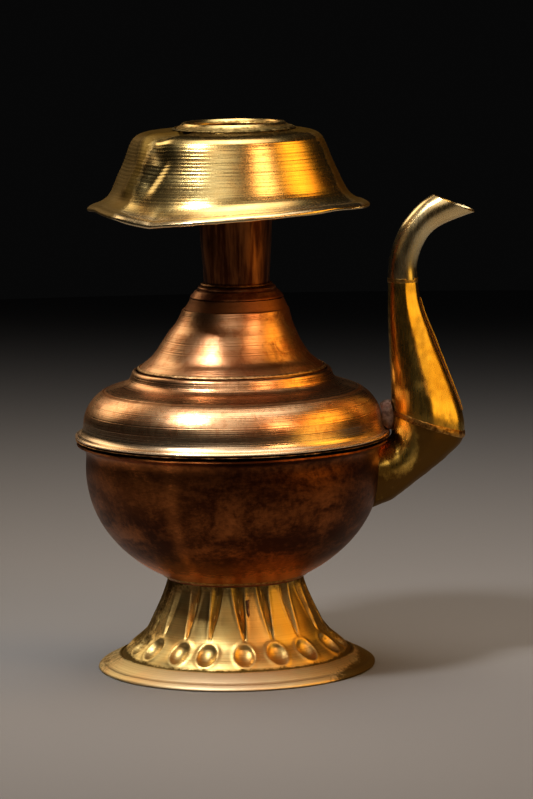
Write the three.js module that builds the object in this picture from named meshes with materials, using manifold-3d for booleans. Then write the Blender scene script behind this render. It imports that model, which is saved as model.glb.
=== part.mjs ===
// Spouted copper and brass pouring pot on a fluted foot, with a flared hood round its mouth.
// Millimetres, +Z up. The spout points along +X and the foot's rim stands on z = 0.
import * as THREE from 'three';
import { mergeVertices } from 'three/addons/utils/BufferGeometryUtils.js';
import Module from 'manifold-3d';

const wasm = await Module();
wasm.setup();

// ---------------------------------------------------------------- driving dimensions
const copperWall = 1;
const brassWall = 1;
const gap = 0.35; // between any two pieces that the real maker soldered together
const columns = 32; // facets round a wide turned piece
const slimColumns = 24; // facets round a slim turned piece
const fluteColumns = 3; // facets round the foot for each flute

const footRimRadius = 65;
const footHemWidth = 2.4; // the rim's sheet is folded in, which makes the ring it stands on
const footHemHeight = 1.4;
const footFlangeWidth = 10.7;
const footCreaseHeight = 6.9; // where the flange turns up into the cone
const footTopRadius = 31.6;
const footHeight = 42;
const fluteCount = 19;
const fluteTurn = THREE.MathUtils.degToRad(5); // from the front to the nearest flute
const fluteDepth = 1.5;
const fluteHalfWidth = 1.4;
const dimpleDepth = 1.6;
const dimpleRadius = 4;
const footSeamBeadRadius = 0.8;
const beadClearance = 1.2; // between that bead and the dimpled sheet in front of it

const collarHeight = 1.7;
const collarWall = 2.6;
const collarOverhang = 1; // past the foot's top
const seatBeadWidth = 1.9;
const bowlRadius = 68;
const bowlDepth = 56.5; // from the widest circle down to the bottom
const lipRise = 14; // from the widest circle up to the lip
const lipFlare = 4.4; // how far the lip stands out past the widest circle

const flangeOverhang = 0.9; // past the bowl's lip
const flangeHeight = 1.2;
const seamGap = 1; // between the bowl's lip and the shoulder's flange, where the braze ring lies
const seamBeadClearance = 0.3; // above and below that ring
const seamBeadWidth = 2.5;
const shoulderRise = 31.2;
const stepRadius = 44.6;
const stepHeight = 4.6;

const domeRise = 33;
const domeTopWidth = 6.9; // from the neck tube out to the edge of the dome's top
const domeSkirt = 3.5; // how far the dome's foot reaches down inside the shoulder

const neckRadius = 14.7; // outside, at the dome
const neckMouthRadius = 19.7; // outside, at the mouth
const neckLength = 81;
const neckTuck = 1.6; // how far the tube reaches down past its collar
const neckCollarHeight = 5.6;
const neckSet = 3; // the neck stands this far off the pot's axis, toward the spout

const hoodRimRadius = 65.4;
const hoodRise = 36.8;
const hoodCrownRadius = 43;
const rimDip = 3.7; // the rim is bent down by this much at its front left
const rimDipAzimuth = THREE.MathUtils.degToRad(-125);
const mouthRingHeight = 2.8;
const mouthRingWidth = 7.3; // from the neck tube out to the ring's foot
const mouthRingTopWidth = 3.9;
const mouthRingFlat = 1.2; // the flat edge on its top
const mouthClearance = 0.5; // more than the usual gap, because the tube was filed to fit
const mouthTopDrop = 2; // how far the neck's end lies below the mouth ring's top

const spoutWall = 1.1;
const spoutClearance = 0.8; // between the flange and the spout beside it
const bowlHoleClearance = 0.6; // the hole in the bowl is cut this much inside the elbow's bore
const bandWall = 0.45; // the bands of braze round the spout's two joints
const saddleWidth = 3.4;
const saddleWall = 0.9;
const saddleDrop = 7; // its ends stop this far below the bowl's lip
const seamFinWidth = 1; // across the spout
const seamFinHeight = 1.1; // out from the spout

// ---------------------------------------------------------------- heights that follow
const collarTop = footHeight + gap + collarHeight;
const collarOuterRadius = footTopRadius + collarOverhang;
const bowlSlope = Math.sqrt(1 - (collarOuterRadius / bowlRadius) ** 2);
const equatorZ = collarTop + gap + bowlDepth * bowlSlope;
const lipZ = equatorZ + lipRise;
const flangeRadius = bowlRadius + lipFlare + flangeOverhang;
const flangeZ = lipZ + seamGap;
const stepZ = flangeZ + shoulderRise;
const domeFootRadius = stepRadius - copperWall - gap;
const domeTopRadius = neckRadius + domeTopWidth;
const domeTopZ = stepZ + domeRise;
const neckBottomZ = domeTopZ - neckTuck;
const neckTopZ = neckBottomZ + neckLength;
const mouthRingBase = neckMouthRadius + mouthRingWidth;
const mouthRingTop = neckMouthRadius + mouthRingTopWidth;
const mouthRingBore = neckMouthRadius + gap + mouthClearance;
const mouthRingTopZ = neckTopZ + mouthTopDrop;
const crownZ = mouthRingTopZ - mouthRingHeight - gap;
const hoodRimZ = crownZ - hoodRise;
const spoutRootX = flangeRadius + spoutClearance;

// ---------------------------------------------------------------- materials
const finish = (color, roughness) => new THREE.MeshStandardMaterial({ color, roughness, metalness: 1 });
const copper = finish(0xc07a4a, 0.32);
const darkCopper = finish(0x7a4028, 0.42);
const brass = finish(0xc9a557, 0.3);
const spoutBrass = finish(0xb8923c, 0.34);
const braze = finish(0xd0ae6c, 0.45);
const solder = finish(0x9c8f88, 0.6);

// ---------------------------------------------------------------- turned sheet
const at = (r, z) => new THREE.Vector2(r, z);

/** A point a share of the way across, and a share of the way up, from one point to another. */
const partWay = (from, to, across, up) => at(
  THREE.MathUtils.lerp(from.x, to.x, across),
  THREE.MathUtils.lerp(from.y, to.y, up),
);

/** The unit normal of an outline at one of its points, on the right of its direction. */
function outlineNormal(points, index) {
  const before = points[Math.max(index - 1, 0)];
  const after = points[Math.min(index + 1, points.length - 1)];
  return at(after.y - before.y, before.x - after.x).normalize();
}

/** The outline moved sideways, outward for a positive distance, and never across the axis. */
function offsetOutline(points, distance) {
  return points.map((point, index) => {
    const moved = outlineNormal(points, index).multiplyScalar(distance).add(point);
    return point.x === 0 ? at(0, point.y - distance) : at(Math.max(moved.x, 0), moved.y);
  });
}

/** The closed section of a sheet whose outer face is the outline, which runs upward. */
function sheet(outline, wall) {
  const section = [...outline, ...offsetOutline(outline, -wall).reverse()];
  return outline[0].x === 0 ? section : [...section, outline[0]];
}

/** Turns a section round the Z axis. */
function turn(section, facets = columns) {
  return new THREE.LatheGeometry(section, facets).rotateX(Math.PI / 2);
}

/** Turns a ring from the corners of its section, listed counterclockwise from its outer foot. */
function turnRing(corners, facets = columns) {
  return turn([...corners, corners[0]], facets);
}

/** A smooth outline through a few chosen points. */
function smooth(points, steps) {
  return new THREE.SplineCurve(points).getPoints(steps);
}

/** Moves every vertex by a rule that is given the vertex and its distance from the axis. */
function reshape(geometry, rule) {
  const place = geometry.attributes.position;
  const vertex = new THREE.Vector3();
  for (let i = 0; i < place.count; i += 1) {
    vertex.fromBufferAttribute(place, i);
    rule(vertex, Math.hypot(vertex.x, vertex.y));
    place.setXYZ(i, vertex.x, vertex.y, vertex.z);
  }
  return geometry;
}

/** Carries a piece's narrow top sideways to meet the off-centre neck. */
function leanToNeck(geometry, innerRadius, outerRadius) {
  return reshape(geometry, (vertex, radius) => {
    vertex.x += neckSet * (1 - THREE.MathUtils.smoothstep(radius, innerRadius, outerRadius));
  });
}

/** Sets a piece that belongs to the neck off the pot's axis. */
const onNeck = (geometry) => geometry.translate(neckSet, 0, 0);

// ---------------------------------------------------------------- solids that are cut
function toSolid(geometry) {
  const bare = geometry.clone().deleteAttribute('normal').deleteAttribute('uv');
  const welded = mergeVertices(bare, 1e-4);
  return new wasm.Manifold(new wasm.Mesh({
    numProp: 3,
    vertProperties: new Float32Array(welded.attributes.position.array),
    triVerts: new Uint32Array(welded.index.array),
  }));
}

function toGeometry(solid) {
  const mesh = solid.getMesh();
  const geometry = new THREE.BufferGeometry();
  geometry.setAttribute('position', new THREE.BufferAttribute(mesh.vertProperties, 3));
  geometry.setIndex(new THREE.BufferAttribute(mesh.triVerts, 1));
  geometry.computeVertexNormals();
  return geometry;
}

/** A solid box that is everything between two heights near the pot. */
function slab(bottom, top) {
  const reach = 4 * flangeRadius;
  const box = new THREE.BoxGeometry(reach, reach, top - bottom);
  return toSolid(box.translate(0, 0, (bottom + top) / 2));
}

// ---------------------------------------------------------------- foot
/** Chases the flutes and dimples: the first column of each flute is driven in between its two edges. */
function chaseFoot(geometry, ringCount, ringShapes) {
  const place = geometry.attributes.position;
  const pitch = (2 * Math.PI) / fluteCount;
  for (let i = 0; i < place.count; i += 1) {
    const column = Math.floor(i / ringCount);
    const shape = ringShapes[i % ringCount];
    const phase = column % fluteColumns;
    const radius = Math.hypot(place.getX(i), place.getY(i));
    const edge = shape.halfWidth ? shape.halfWidth / radius : pitch / 3;
    const angle = Math.floor(column / fluteColumns) * pitch + [0, edge, pitch - edge][phase];
    const depth = phase === 0 ? shape.depth : 0;
    const reach = radius - depth * shape.inward;
    const height = place.getZ(i) - depth * shape.downward;
    place.setXYZ(i, reach * Math.sin(angle), -reach * Math.cos(angle), height);
  }
  return geometry;
}

function makeFoot() {
  const creaseRadius = footRimRadius - footFlangeWidth;
  const plain = { depth: 0, inward: 0, downward: 0 };
  const dimple = { depth: dimpleDepth, halfWidth: dimpleRadius, inward: 0.6, downward: 0.8 };
  const flute = (share) => ({
    depth: fluteDepth * share, halfWidth: fluteHalfWidth * (0.4 + 0.6 * share), inward: 1, downward: 0,
  });
  const rim = at(footRimRadius, footHemHeight);
  const crease = at(creaseRadius, footCreaseHeight);
  const top = at(footTopRadius, footHeight);
  const rings = [
    [at(footRimRadius, 0), plain],
    [rim, plain],
    [partWay(rim, crease, 0.51, 0.58), plain],
    [crease, plain],
    [partWay(crease, top, 0.14, 0.066), plain],
    [partWay(crease, top, 0.3, 0.15), dimple],
    [partWay(crease, top, 0.46, 0.24), plain],
    [partWay(crease, top, 0.58, 0.353), flute(0.15)],
    [partWay(crease, top, 0.766, 0.593), flute(0.65)],
    [partWay(crease, top, 0.938, 0.82), flute(0.95)],
    [top, flute(1)],
  ];
  const outline = rings.map(([point]) => point);
  const inner = offsetOutline(outline, -brassWall).slice(2).reverse();
  const hemRadius = footRimRadius - footHemWidth;
  const section = [...outline, ...inner, at(hemRadius, footHemHeight), at(hemRadius, 0), outline[0]];
  const shapes = rings.map(([, shape]) => shape);
  const ringShapes = [...shapes, ...shapes.slice(2).reverse(), plain, plain, plain];
  const chased = chaseFoot(turn(section, fluteColumns * fluteCount), section.length, ringShapes);
  return chased.rotateZ(fluteTurn);
}

/** The bead of braze down the inside of the rolled sheet's joint, behind a land between two flutes. */
function makeFootSeamBraze() {
  const inset = brassWall + gap + footSeamBeadRadius + beadClearance;
  const crease = at(footRimRadius - footFlangeWidth - inset, footCreaseHeight);
  const top = at(footTopRadius - inset, footHeight);
  const bead = new THREE.Shape().absarc(0, 0, footSeamBeadRadius, 0, 2 * Math.PI);
  const path = new THREE.CatmullRomCurve3(
    [[0.46, 0.165], [0.766, 0.55], [0.98, 0.86]].map(([across, up]) => {
      const point = partWay(crease, top, across, up);
      return new THREE.Vector3(point.x, 0, point.y);
    }),
  );
  const geometry = new THREE.ExtrudeGeometry(bead, { steps: 8, curveSegments: 4, extrudePath: path });
  const landAzimuth = -Math.PI / 2 + fluteTurn + Math.PI / fluteCount;
  return geometry.rotateZ(landAzimuth);
}

// ---------------------------------------------------------------- bowl and its seat
const bowlHeightAt = (radius) => equatorZ - bowlDepth * Math.sqrt(1 - (radius / bowlRadius) ** 2);

function bowlOutline() {
  const flareStart = Math.asin(0.62 * lipRise / bowlDepth);
  const arc = new THREE.EllipseCurve(0, equatorZ, bowlRadius, bowlDepth, -Math.PI / 2, flareStart);
  const lip = at(bowlRadius + lipFlare, lipZ - copperWall);
  return [at(0, equatorZ - bowlDepth), ...arc.getPoints(10).slice(1), lip];
}

/** The bowl's outside moved outward, as a solid that is filled up to the axis. */
function bowlSkin(distance) {
  const outline = offsetOutline(bowlOutline(), distance);
  return toSolid(turn([...outline, at(0, outline.at(-1).y)]));
}

function makeFootCollar() {
  const inner = collarOuterRadius - collarWall;
  return turnRing([
    at(collarOuterRadius, footHeight + gap),
    at(collarOuterRadius, bowlHeightAt(collarOuterRadius) - gap),
    at(inner, bowlHeightAt(inner) - gap),
    at(inner, footHeight + gap),
  ]);
}

function makeBowlSeatBraze() {
  const inner = collarOuterRadius + gap;
  const outer = inner + seatBeadWidth;
  return turnRing([
    at(inner, collarTop - collarHeight / 2),
    at(outer, bowlHeightAt(outer) - gap),
    at(inner, bowlHeightAt(inner) - gap),
  ]);
}

function makeBellySeamBraze() {
  const outer = bowlRadius + lipFlare + seamBeadClearance;
  const inner = outer - seamBeadWidth;
  const bottom = lipZ + seamBeadClearance;
  const top = flangeZ - seamBeadClearance;
  return turnRing([at(outer, bottom), at(outer, top), at(inner, top), at(inner, bottom)]);
}

// ---------------------------------------------------------------- shoulder and dome
function shoulderOutline() {
  const flange = at(flangeRadius, flangeZ + flangeHeight);
  const step = at(stepRadius, stepZ);
  const stepFoot = stepZ - stepHeight;
  const bulge = smooth([
    partWay(flange, step, 0.122, 0.095),
    partWay(flange, step, 0.146, 0.241),
    partWay(flange, step, 0.216, 0.428),
    partWay(flange, step, 0.366, 0.594),
    partWay(flange, step, 0.5, 0.657),
  ], 6);
  return [
    flange,
    partWay(flange, step, 0.07, 0.017),
    ...bulge,
    partWay(flange, step, 0.7, 0.74),
    at(stepRadius + 4.2, stepFoot - 1.2),
    at(stepRadius + 2.6, stepFoot + 0.2),
    at(stepRadius + 1.4, stepZ - 0.3 * stepHeight),
    step,
  ];
}

function shoulderSkin(distance) {
  const outline = offsetOutline(shoulderOutline(), distance);
  const flat = at(0, outline[0].y - flangeHeight - 2 * distance);
  const edge = at(outline[0].x + distance, flat.y);
  return toSolid(turn([flat, edge, ...outline, at(0, outline.at(-1).y)]));
}

function makeDome() {
  const foot = at(domeFootRadius, stepZ);
  const top = at(domeTopRadius, domeTopZ);
  const waist = smooth([
    partWay(foot, top, 0.074, 0.055),
    partWay(foot, top, 0.277, 0.18),
    partWay(foot, top, 0.503, 0.38),
    partWay(foot, top, 0.674, 0.61),
    partWay(foot, top, 0.767, 0.77),
    partWay(foot, top, 0.841, 0.85),
  ], 8);
  const outline = [
    at(domeFootRadius, stepZ - domeSkirt),
    at(domeFootRadius, stepZ - copperWall / 2),
    ...waist,
    partWay(foot, top, 0.93, 0.905),
    top,
  ];
  return leanToNeck(turn(sheet(outline, copperWall)), domeTopRadius, partWay(foot, top, 0.74, 0).x);
}

/** A bead of soft solder in the corner between the step's lip and the dome. */
function makeDomeSolder() {
  return turnRing([
    at(stepRadius - 0.5, stepZ + gap),
    at(stepRadius - 0.6, stepZ + gap + 0.6),
    at(domeFootRadius - 0.6, stepZ + gap + 1.3),
    at(domeFootRadius + 0.1, stepZ + gap + 0.1),
  ]);
}

// ---------------------------------------------------------------- neck
const neckRadiusAt = (z) => THREE.MathUtils.mapLinear(z, neckBottomZ, neckTopZ, neckRadius, neckMouthRadius);

function makeNeckTube() {
  const outline = [at(neckRadius, neckBottomZ), at(neckMouthRadius, neckTopZ)];
  return onNeck(turn(sheet(outline, copperWall), slimColumns));
}

function makeNeckCollar() {
  const foot = domeTopZ + gap;
  const top = foot + neckCollarHeight;
  const boreTop = neckRadiusAt(top) + gap;
  return onNeck(turnRing([
    at(domeTopRadius + 0.2, foot),
    at(domeTopRadius - 0.4, foot + 0.7),
    at(neckRadius + 3.9, top - 2.1),
    at(neckRadius + 3.5, top - 1),
    at(neckRadius + 2.8, top - 0.2),
    at(boreTop + 0.7, top),
    at(boreTop, top - 0.6),
    at(boreTop, top - 2),
    at(domeTopRadius - 1.4, foot),
  ], slimColumns));
}

/** The thin bead of braze where the tube leaves its collar. */
function makeNeckFootBraze() {
  const foot = domeTopZ + neckCollarHeight + 2 * gap;
  const inner = neckRadiusAt(foot + 1) + gap;
  const corners = [at(inner + 1.2, foot), at(inner, foot + 1), at(inner, foot)];
  return onNeck(turnRing(corners, slimColumns));
}

// ---------------------------------------------------------------- hood and mouth
/** Bends the rim down over a quarter turn round its front left, less and less up the skirt. */
function dipRim(geometry) {
  const skirtZ = hoodRimZ + 0.45 * hoodRise;
  return reshape(geometry, (vertex) => {
    const turned = Math.atan2(vertex.y, vertex.x) - rimDipAzimuth;
    const away = Math.abs(THREE.MathUtils.euclideanModulo(turned + Math.PI, 2 * Math.PI) - Math.PI);
    const nearness = Math.cos(Math.min(away, Math.PI / 2)) ** 2;
    const weight = 1 - THREE.MathUtils.smoothstep(vertex.z, hoodRimZ, skirtZ);
    vertex.z -= rimDip * nearness * weight;
  });
}

function makeHood() {
  const rim = at(hoodRimRadius, hoodRimZ);
  const crown = at(hoodCrownRadius, crownZ);
  const skirt = smooth([
    partWay(rim, crown, 0.152, 0.09),
    partWay(rim, crown, 0.411, 0.17),
    partWay(rim, crown, 0.554, 0.31),
    partWay(rim, crown, 0.696, 0.52),
    partWay(rim, crown, 0.844, 0.73),
    partWay(rim, crown, 0.915, 0.84),
    partWay(rim, crown, 1.027, 0.92),
    at((hoodCrownRadius + mouthRingBase) / 2, crownZ - 0.9 * brassWall),
  ], 10);
  const outline = [
    at(hoodRimRadius - 0.2, hoodRimZ),
    at(hoodRimRadius, hoodRimZ + 1.1 * brassWall),
    at(hoodRimRadius - 0.8, hoodRimZ + 2.1 * brassWall),
    ...skirt,
    at(mouthRingBase + 1, crownZ),
    at(mouthRingBore, crownZ),
  ];
  const plain = turn(sheet(outline, brassWall));
  return dipRim(leanToNeck(plain, mouthRingBase, hoodCrownRadius));
}

function makeMouthRing() {
  const foot = crownZ + gap;
  return onNeck(turnRing([
    at(mouthRingBase, foot),
    at(mouthRingBase - 0.4, foot + 0.5),
    at(mouthRingTop + 0.6, mouthRingTopZ - 0.7),
    at(mouthRingTop, mouthRingTopZ),
    at(mouthRingTop - mouthRingFlat, mouthRingTopZ),
    at(mouthRingBore, foot + 0.9),
    at(mouthRingBore, foot),
  ], columns));
}

/** The fillet of braze round the mouth ring's foot. */
function makeMouthBraze() {
  const inner = mouthRingBase + gap;
  const foot = crownZ + gap;
  return onNeck(turnRing([at(inner + 1.4, foot), at(inner, foot + 0.8), at(inner, foot)], columns));
}

/** The fillet of braze under the crown, which holds the hood on the neck. */
function makeHoodNeckBraze() {
  const top = crownZ - brassWall - gap;
  const inner = neckRadiusAt(top) + gap;
  return onNeck(turnRing([
    at(inner, top - 2.2),
    at(inner + 2.6, top),
    at(inner, top),
  ], slimColumns));
}

// ---------------------------------------------------------------- spout
// A station is one ring of the spout: where its inner edge (toward the pot) and its outer edge lie in
// the XZ plane, from the spout's root beside the flange, and half its depth across that plane.
const station = (innerX, innerZ, outerX, outerZ, halfDepth) => ({
  inner: new THREE.Vector3(spoutRootX + innerX, 0, flangeZ + innerZ),
  outer: new THREE.Vector3(spoutRootX + outerX, 0, flangeZ + outerZ),
  halfDepth,
});

const rootStations = [
  station(-14, -3.8, -14, -36.8, 15),
  station(-5, -3.2, -2.5, -33, 15),
];
const elbowStations = [
  ...rootStations,
  station(-1.6, -2.6, 4.5, -28.6, 15),
  station(-0.2, -1.4, 13.4, -21.6, 15),
  station(0, 1, 24, -13.2, 15.2),
  station(0, 4, 31.6, -6.6, 15.4),
  station(0, 9.3, 33.8, -2.2, 15.4),
];
const coneStations = [
  station(0, 9.8, 33.8, -1.6, 15.2),
  station(0, 14.4, 33.6, 4.6, 15),
  station(-0.1, 21, 31.7, 12.4, 14.2),
  station(-0.3, 29, 28.1, 22, 12.4),
  station(-0.7, 38, 23.7, 33.4, 10.6),
  station(-1, 47, 19.3, 45, 8.8),
  station(-1.1, 56, 15.3, 55.4, 7.6),
  station(-1, 64, 13.4, 63.8, 7.1),
  station(-0.9, 70.6, 12.8, 70.6, 6.9),
];
const waistBandStations = [
  station(0, 8.2, 33.4, -3.4, 15.4),
  station(0, 9.5, 33.8, -1.9, 15.3),
  station(0, 11, 33.8, 0, 15.2),
];
const tipStations = [
  station(-0.9, 71.1, 12.8, 71.1, 6.9),
  station(-0.4, 78, 12.6, 77, 6.9),
  station(0.7, 84, 13.5, 81.8, 6.9),
  station(3, 91, 15.6, 87, 7),
  station(6.3, 97, 19, 92, 7),
  station(10.6, 102.5, 23.9, 95.8, 7.1),
  station(15.5, 107.2, 31, 98.8, 7.3),
  station(20.4, 110.2, 39.6, 101.8, 7.5),
];

const tipBandStations = [
  station(-1, 69.8, 12.9, 69.8, 6.9),
  station(-0.9, 71.9, 12.8, 71.9, 6.9),
];

// A spout piece is turned first, as a sleeve whose rings stand one unit apart, then each ring is laid on
// its station. Radius 2 marks the sleeve's outside, 1 its inside, and 0 the middle of a filled end.
const outsideMark = 2;
const insideMark = 1;

function layOnStations(section, stations, grow, wall) {
  const sleeve = new THREE.LatheGeometry(section, slimColumns);
  const place = sleeve.attributes.position;
  for (let i = 0; i < place.count; i += 1) {
    const mark = Math.hypot(place.getX(i), place.getZ(i));
    const { inner, outer, halfDepth } = stations[Math.round(place.getY(i))];
    const margin = grow - (outsideMark - mark) * wall;
    const halfSpan = outer.clone().sub(inner).multiplyScalar(0.5);
    const across = mark < 0.5 ? 0 : (place.getX(i) / mark) * (1 + margin / halfSpan.length());
    const aside = mark < 0.5 ? 0 : (-place.getZ(i) / mark) * (halfDepth + margin);
    const point = inner.clone().add(halfSpan).addScaledVector(halfSpan, across);
    place.setXYZ(i, point.x, aside, point.z);
  }
  return sleeve;
}

function spoutShell(stations, grow = 0, wall = spoutWall) {
  const up = stations.map((_, index) => at(outsideMark, index));
  const down = stations.map((_, index) => at(insideMark, index)).reverse();
  return layOnStations([...up, ...down, up[0]], stations, grow, wall);
}

/** The same run of stations filled in, and grown or shrunk all round. */
function spoutCore(stations, grow) {
  const side = stations.map((_, index) => at(outsideMark, index));
  const section = [at(0, 0), ...side, at(0, stations.length - 1)];
  return toSolid(layOnStations(section, stations, grow, 0));
}

function makeBowl() {
  const bowl = toSolid(turn(sheet(bowlOutline(), copperWall)));
  const bore = spoutCore(rootStations, -spoutWall - bowlHoleClearance);
  return toGeometry(bowl.subtract(bore));
}

function makeSpoutElbow() {
  return toGeometry(toSolid(spoutShell(elbowStations)).subtract(bowlSkin(gap)));
}

/** The strip turned out round the spout's root, which lies on the bowl below its lip. */
function makeSpoutSaddle() {
  const strip = bowlSkin(gap + saddleWall).subtract(bowlSkin(gap));
  const around = spoutCore(rootStations, saddleWidth).subtract(spoutCore(elbowStations, gap));
  const belowLip = slab(0, lipZ - saddleDrop);
  return toGeometry(strip.intersect(around).intersect(belowLip));
}

/** Soft solder run into the corner between the shoulder and the spout, above the flange. */
function makeSpoutSolder() {
  const blob = new THREE.SphereGeometry(1, 16, 12).scale(6.5, 6.5, 9.5);
  blob.translate(spoutRootX - 2, 0, flangeZ + 5.5);
  const aboveFlange = slab(flangeZ + flangeHeight + gap, stepZ);
  const run = toSolid(blob).intersect(aboveFlange).subtract(shoulderSkin(gap));
  const spout = spoutCore([...elbowStations, ...coneStations.slice(1)], gap);
  return toGeometry(run.subtract(spout).subtract(spoutCore(waistBandStations, 2 * gap + bandWall)));
}

/** A band of braze run round a joint between two of the spout's pieces. */
const makeJointBand = (stations) => spoutShell(stations, gap + bandWall, bandWall);

/** The folded seam that stands out along the cone's outer side. */
function makeSpoutSeamFin() {
  const clear = gap + seamFinHeight / 2;
  const points = coneStations.slice(2, -1).map(({ inner, outer }) => {
    const away = outer.clone().sub(inner).normalize();
    return outer.clone().addScaledVector(away, clear);
  });
  const bead = new THREE.Shape();
  bead.absellipse(0, 0, seamFinWidth / 2, seamFinHeight / 2, 0, 2 * Math.PI);
  const path = new THREE.CatmullRomCurve3(points);
  return new THREE.ExtrudeGeometry(bead, { steps: 14, curveSegments: 4, extrudePath: path });
}

// ---------------------------------------------------------------- assembly
const pieces = [
  ['foot', makeFoot(), brass],
  ['foot_seam_braze', makeFootSeamBraze(), braze],
  ['foot_collar', makeFootCollar(), copper],
  ['bowl_seat_braze', makeBowlSeatBraze(), braze],
  ['bowl', makeBowl(), darkCopper],
  ['belly_seam_braze', makeBellySeamBraze(), braze],
  ['shoulder', turn(sheet(shoulderOutline(), copperWall)), copper],
  ['dome', makeDome(), copper],
  ['dome_solder', makeDomeSolder(), solder],
  ['neck_collar', makeNeckCollar(), copper],
  ['neck_foot_braze', makeNeckFootBraze(), braze],
  ['neck_tube', makeNeckTube(), darkCopper],
  ['hood', makeHood(), brass],
  ['hood_neck_braze', makeHoodNeckBraze(), braze],
  ['mouth_ring', makeMouthRing(), brass],
  ['mouth_braze', makeMouthBraze(), braze],
  ['spout_elbow', makeSpoutElbow(), spoutBrass],
  ['spout_saddle', makeSpoutSaddle(), spoutBrass],
  ['spout_solder', makeSpoutSolder(), solder],
  ['spout_waist_braze', makeJointBand(waistBandStations), braze],
  ['spout_cone', spoutShell(coneStations), spoutBrass],
  ['spout_seam_fin', makeSpoutSeamFin(), spoutBrass],
  ['spout_tip_braze', makeJointBand(tipBandStations), braze],
  ['spout_tip', spoutShell(tipStations), spoutBrass],
];

const pot = new THREE.Group();
for (const [name, geometry, material] of pieces) {
  const mesh = new THREE.Mesh(geometry, material);
  mesh.name = name;
  pot.add(mesh);
}

// The origin is under the middle of the whole pot, spout included, on the surface it stands on.
const box = new THREE.Box3().setFromObject(pot, true);
const middle = box.getCenter(new THREE.Vector3());
pot.position.set(-middle.x, -middle.y, -box.min.z);

export default pot;
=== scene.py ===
import math

import bmesh
import bpy
from mathutils import Matrix, Vector, geometry, noise


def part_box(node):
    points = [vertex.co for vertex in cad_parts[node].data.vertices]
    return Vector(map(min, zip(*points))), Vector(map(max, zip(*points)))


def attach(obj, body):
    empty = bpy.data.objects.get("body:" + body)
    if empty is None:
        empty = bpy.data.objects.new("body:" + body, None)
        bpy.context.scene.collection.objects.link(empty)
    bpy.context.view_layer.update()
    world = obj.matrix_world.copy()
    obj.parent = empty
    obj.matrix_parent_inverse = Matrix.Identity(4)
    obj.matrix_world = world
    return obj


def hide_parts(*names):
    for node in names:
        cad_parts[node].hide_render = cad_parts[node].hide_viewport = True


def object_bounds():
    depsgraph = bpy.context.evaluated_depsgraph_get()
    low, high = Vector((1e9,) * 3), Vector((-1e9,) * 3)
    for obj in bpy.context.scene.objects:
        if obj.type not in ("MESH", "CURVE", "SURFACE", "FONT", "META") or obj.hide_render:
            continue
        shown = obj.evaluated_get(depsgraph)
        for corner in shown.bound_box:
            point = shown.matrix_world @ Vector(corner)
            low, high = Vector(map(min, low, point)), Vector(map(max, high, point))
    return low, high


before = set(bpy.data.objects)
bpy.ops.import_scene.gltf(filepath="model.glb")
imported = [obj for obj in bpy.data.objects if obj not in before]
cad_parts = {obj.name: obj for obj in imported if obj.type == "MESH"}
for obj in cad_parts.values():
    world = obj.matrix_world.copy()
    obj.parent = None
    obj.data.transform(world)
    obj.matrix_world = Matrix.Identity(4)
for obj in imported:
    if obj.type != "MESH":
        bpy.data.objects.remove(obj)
cad_low, cad_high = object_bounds()

# ------------------------------------------------------------------------------------------- foot
# The foot is one brass sheet, rolled to a cone and brazed, then raised and planished over a stake.
# Its rim is folded in to stand on. The flutes, and a dimple under each, are chased in by eye from
# outside, so no two stand at quite the same distance or angle.
MM = 0.001
FRONT = -math.pi / 2
POT_X = (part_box("shoulder")[0].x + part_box("shoulder")[1].x) / 2
FOOT_RIM = (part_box("foot")[1].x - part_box("foot")[0].x) / 2
FOOT_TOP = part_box("foot")[1].z
FOOT_CREASE = FOOT_RIM - 10.7 * MM
SHEET = 0.9 * MM


def curve_through(points, step):
    """Points about a step apart on a smooth curve through a few (radius, height) points."""
    knots = [Vector((radius, height, 0)) for radius, height in points]
    ends = [knots[0], *knots, knots[-1]]
    line = []
    for before, start, end, after in zip(ends, ends[1:], ends[2:], ends[3:]):
        reach = (end - start).length / 3
        leave = start + (end - before).normalized() * reach
        arrive = end - (after - start).normalized() * reach
        count = max(2, round(3 * reach / step) + 1)
        line += geometry.interpolate_bezier(start, leave, arrive, end, count)[:-1]
    return [(point.x, point.y) for point in [*line, knots[-1]]]


def spin_line(body, line, closed, centre_x, columns):
    """Spins an outline of (radius, height) points round an upright axis: a quarter turn, then its
    mirror images, welded together."""
    row = [body.verts.new((radius, 0, height)) for radius, height in line]
    pairs = zip(row, row[1:] + row[:1]) if closed else zip(row, row[1:])
    edges = [body.edges.new(pair) for pair in pairs]
    bmesh.ops.spin(
        body, geom=row + edges, cent=(0, 0, 0), axis=(0, 0, 1), angle=math.pi / 2, steps=columns // 4,
    )
    for axis in "XY":
        whole = body.verts[:] + body.edges[:] + body.faces[:]
        bmesh.ops.mirror(body, geom=whole, matrix=Matrix(), merge_dist=1e-6, axis=axis)
    bmesh.ops.remove_doubles(body, verts=body.verts, dist=1e-6)
    bmesh.ops.recalc_face_normals(body, faces=body.faces)
    bmesh.ops.translate(body, verts=body.verts, vec=(centre_x, 0, 0))


def spin_skin(line, centre_x, columns):
    """The skin of a turned piece, whose outline is listed upward and left open."""
    skin = bmesh.new()
    spin_line(skin, line, False, centre_x, columns)
    return skin


def around(point, centre_x=POT_X):
    """How far round from the front a point stands, in radians, and its distance from the axis."""
    x = point.x - centre_x
    return math.atan2(x, -point.y), math.hypot(x, point.y)


def push(skin, depth_at):
    """Moves each point of a skin inward along its normal by the depth that a rule gives for it."""
    skin.normal_update()
    for vertex, depth in [(vertex, depth_at(vertex.co)) for vertex in skin.verts]:
        vertex.co -= vertex.normal * depth


def wander(point, scale, seed=0):
    """A smooth value from about -1 to 1 that changes over a distance of the scale given."""
    return noise.noise(point / scale + Vector((seed, seed, seed)))


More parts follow.
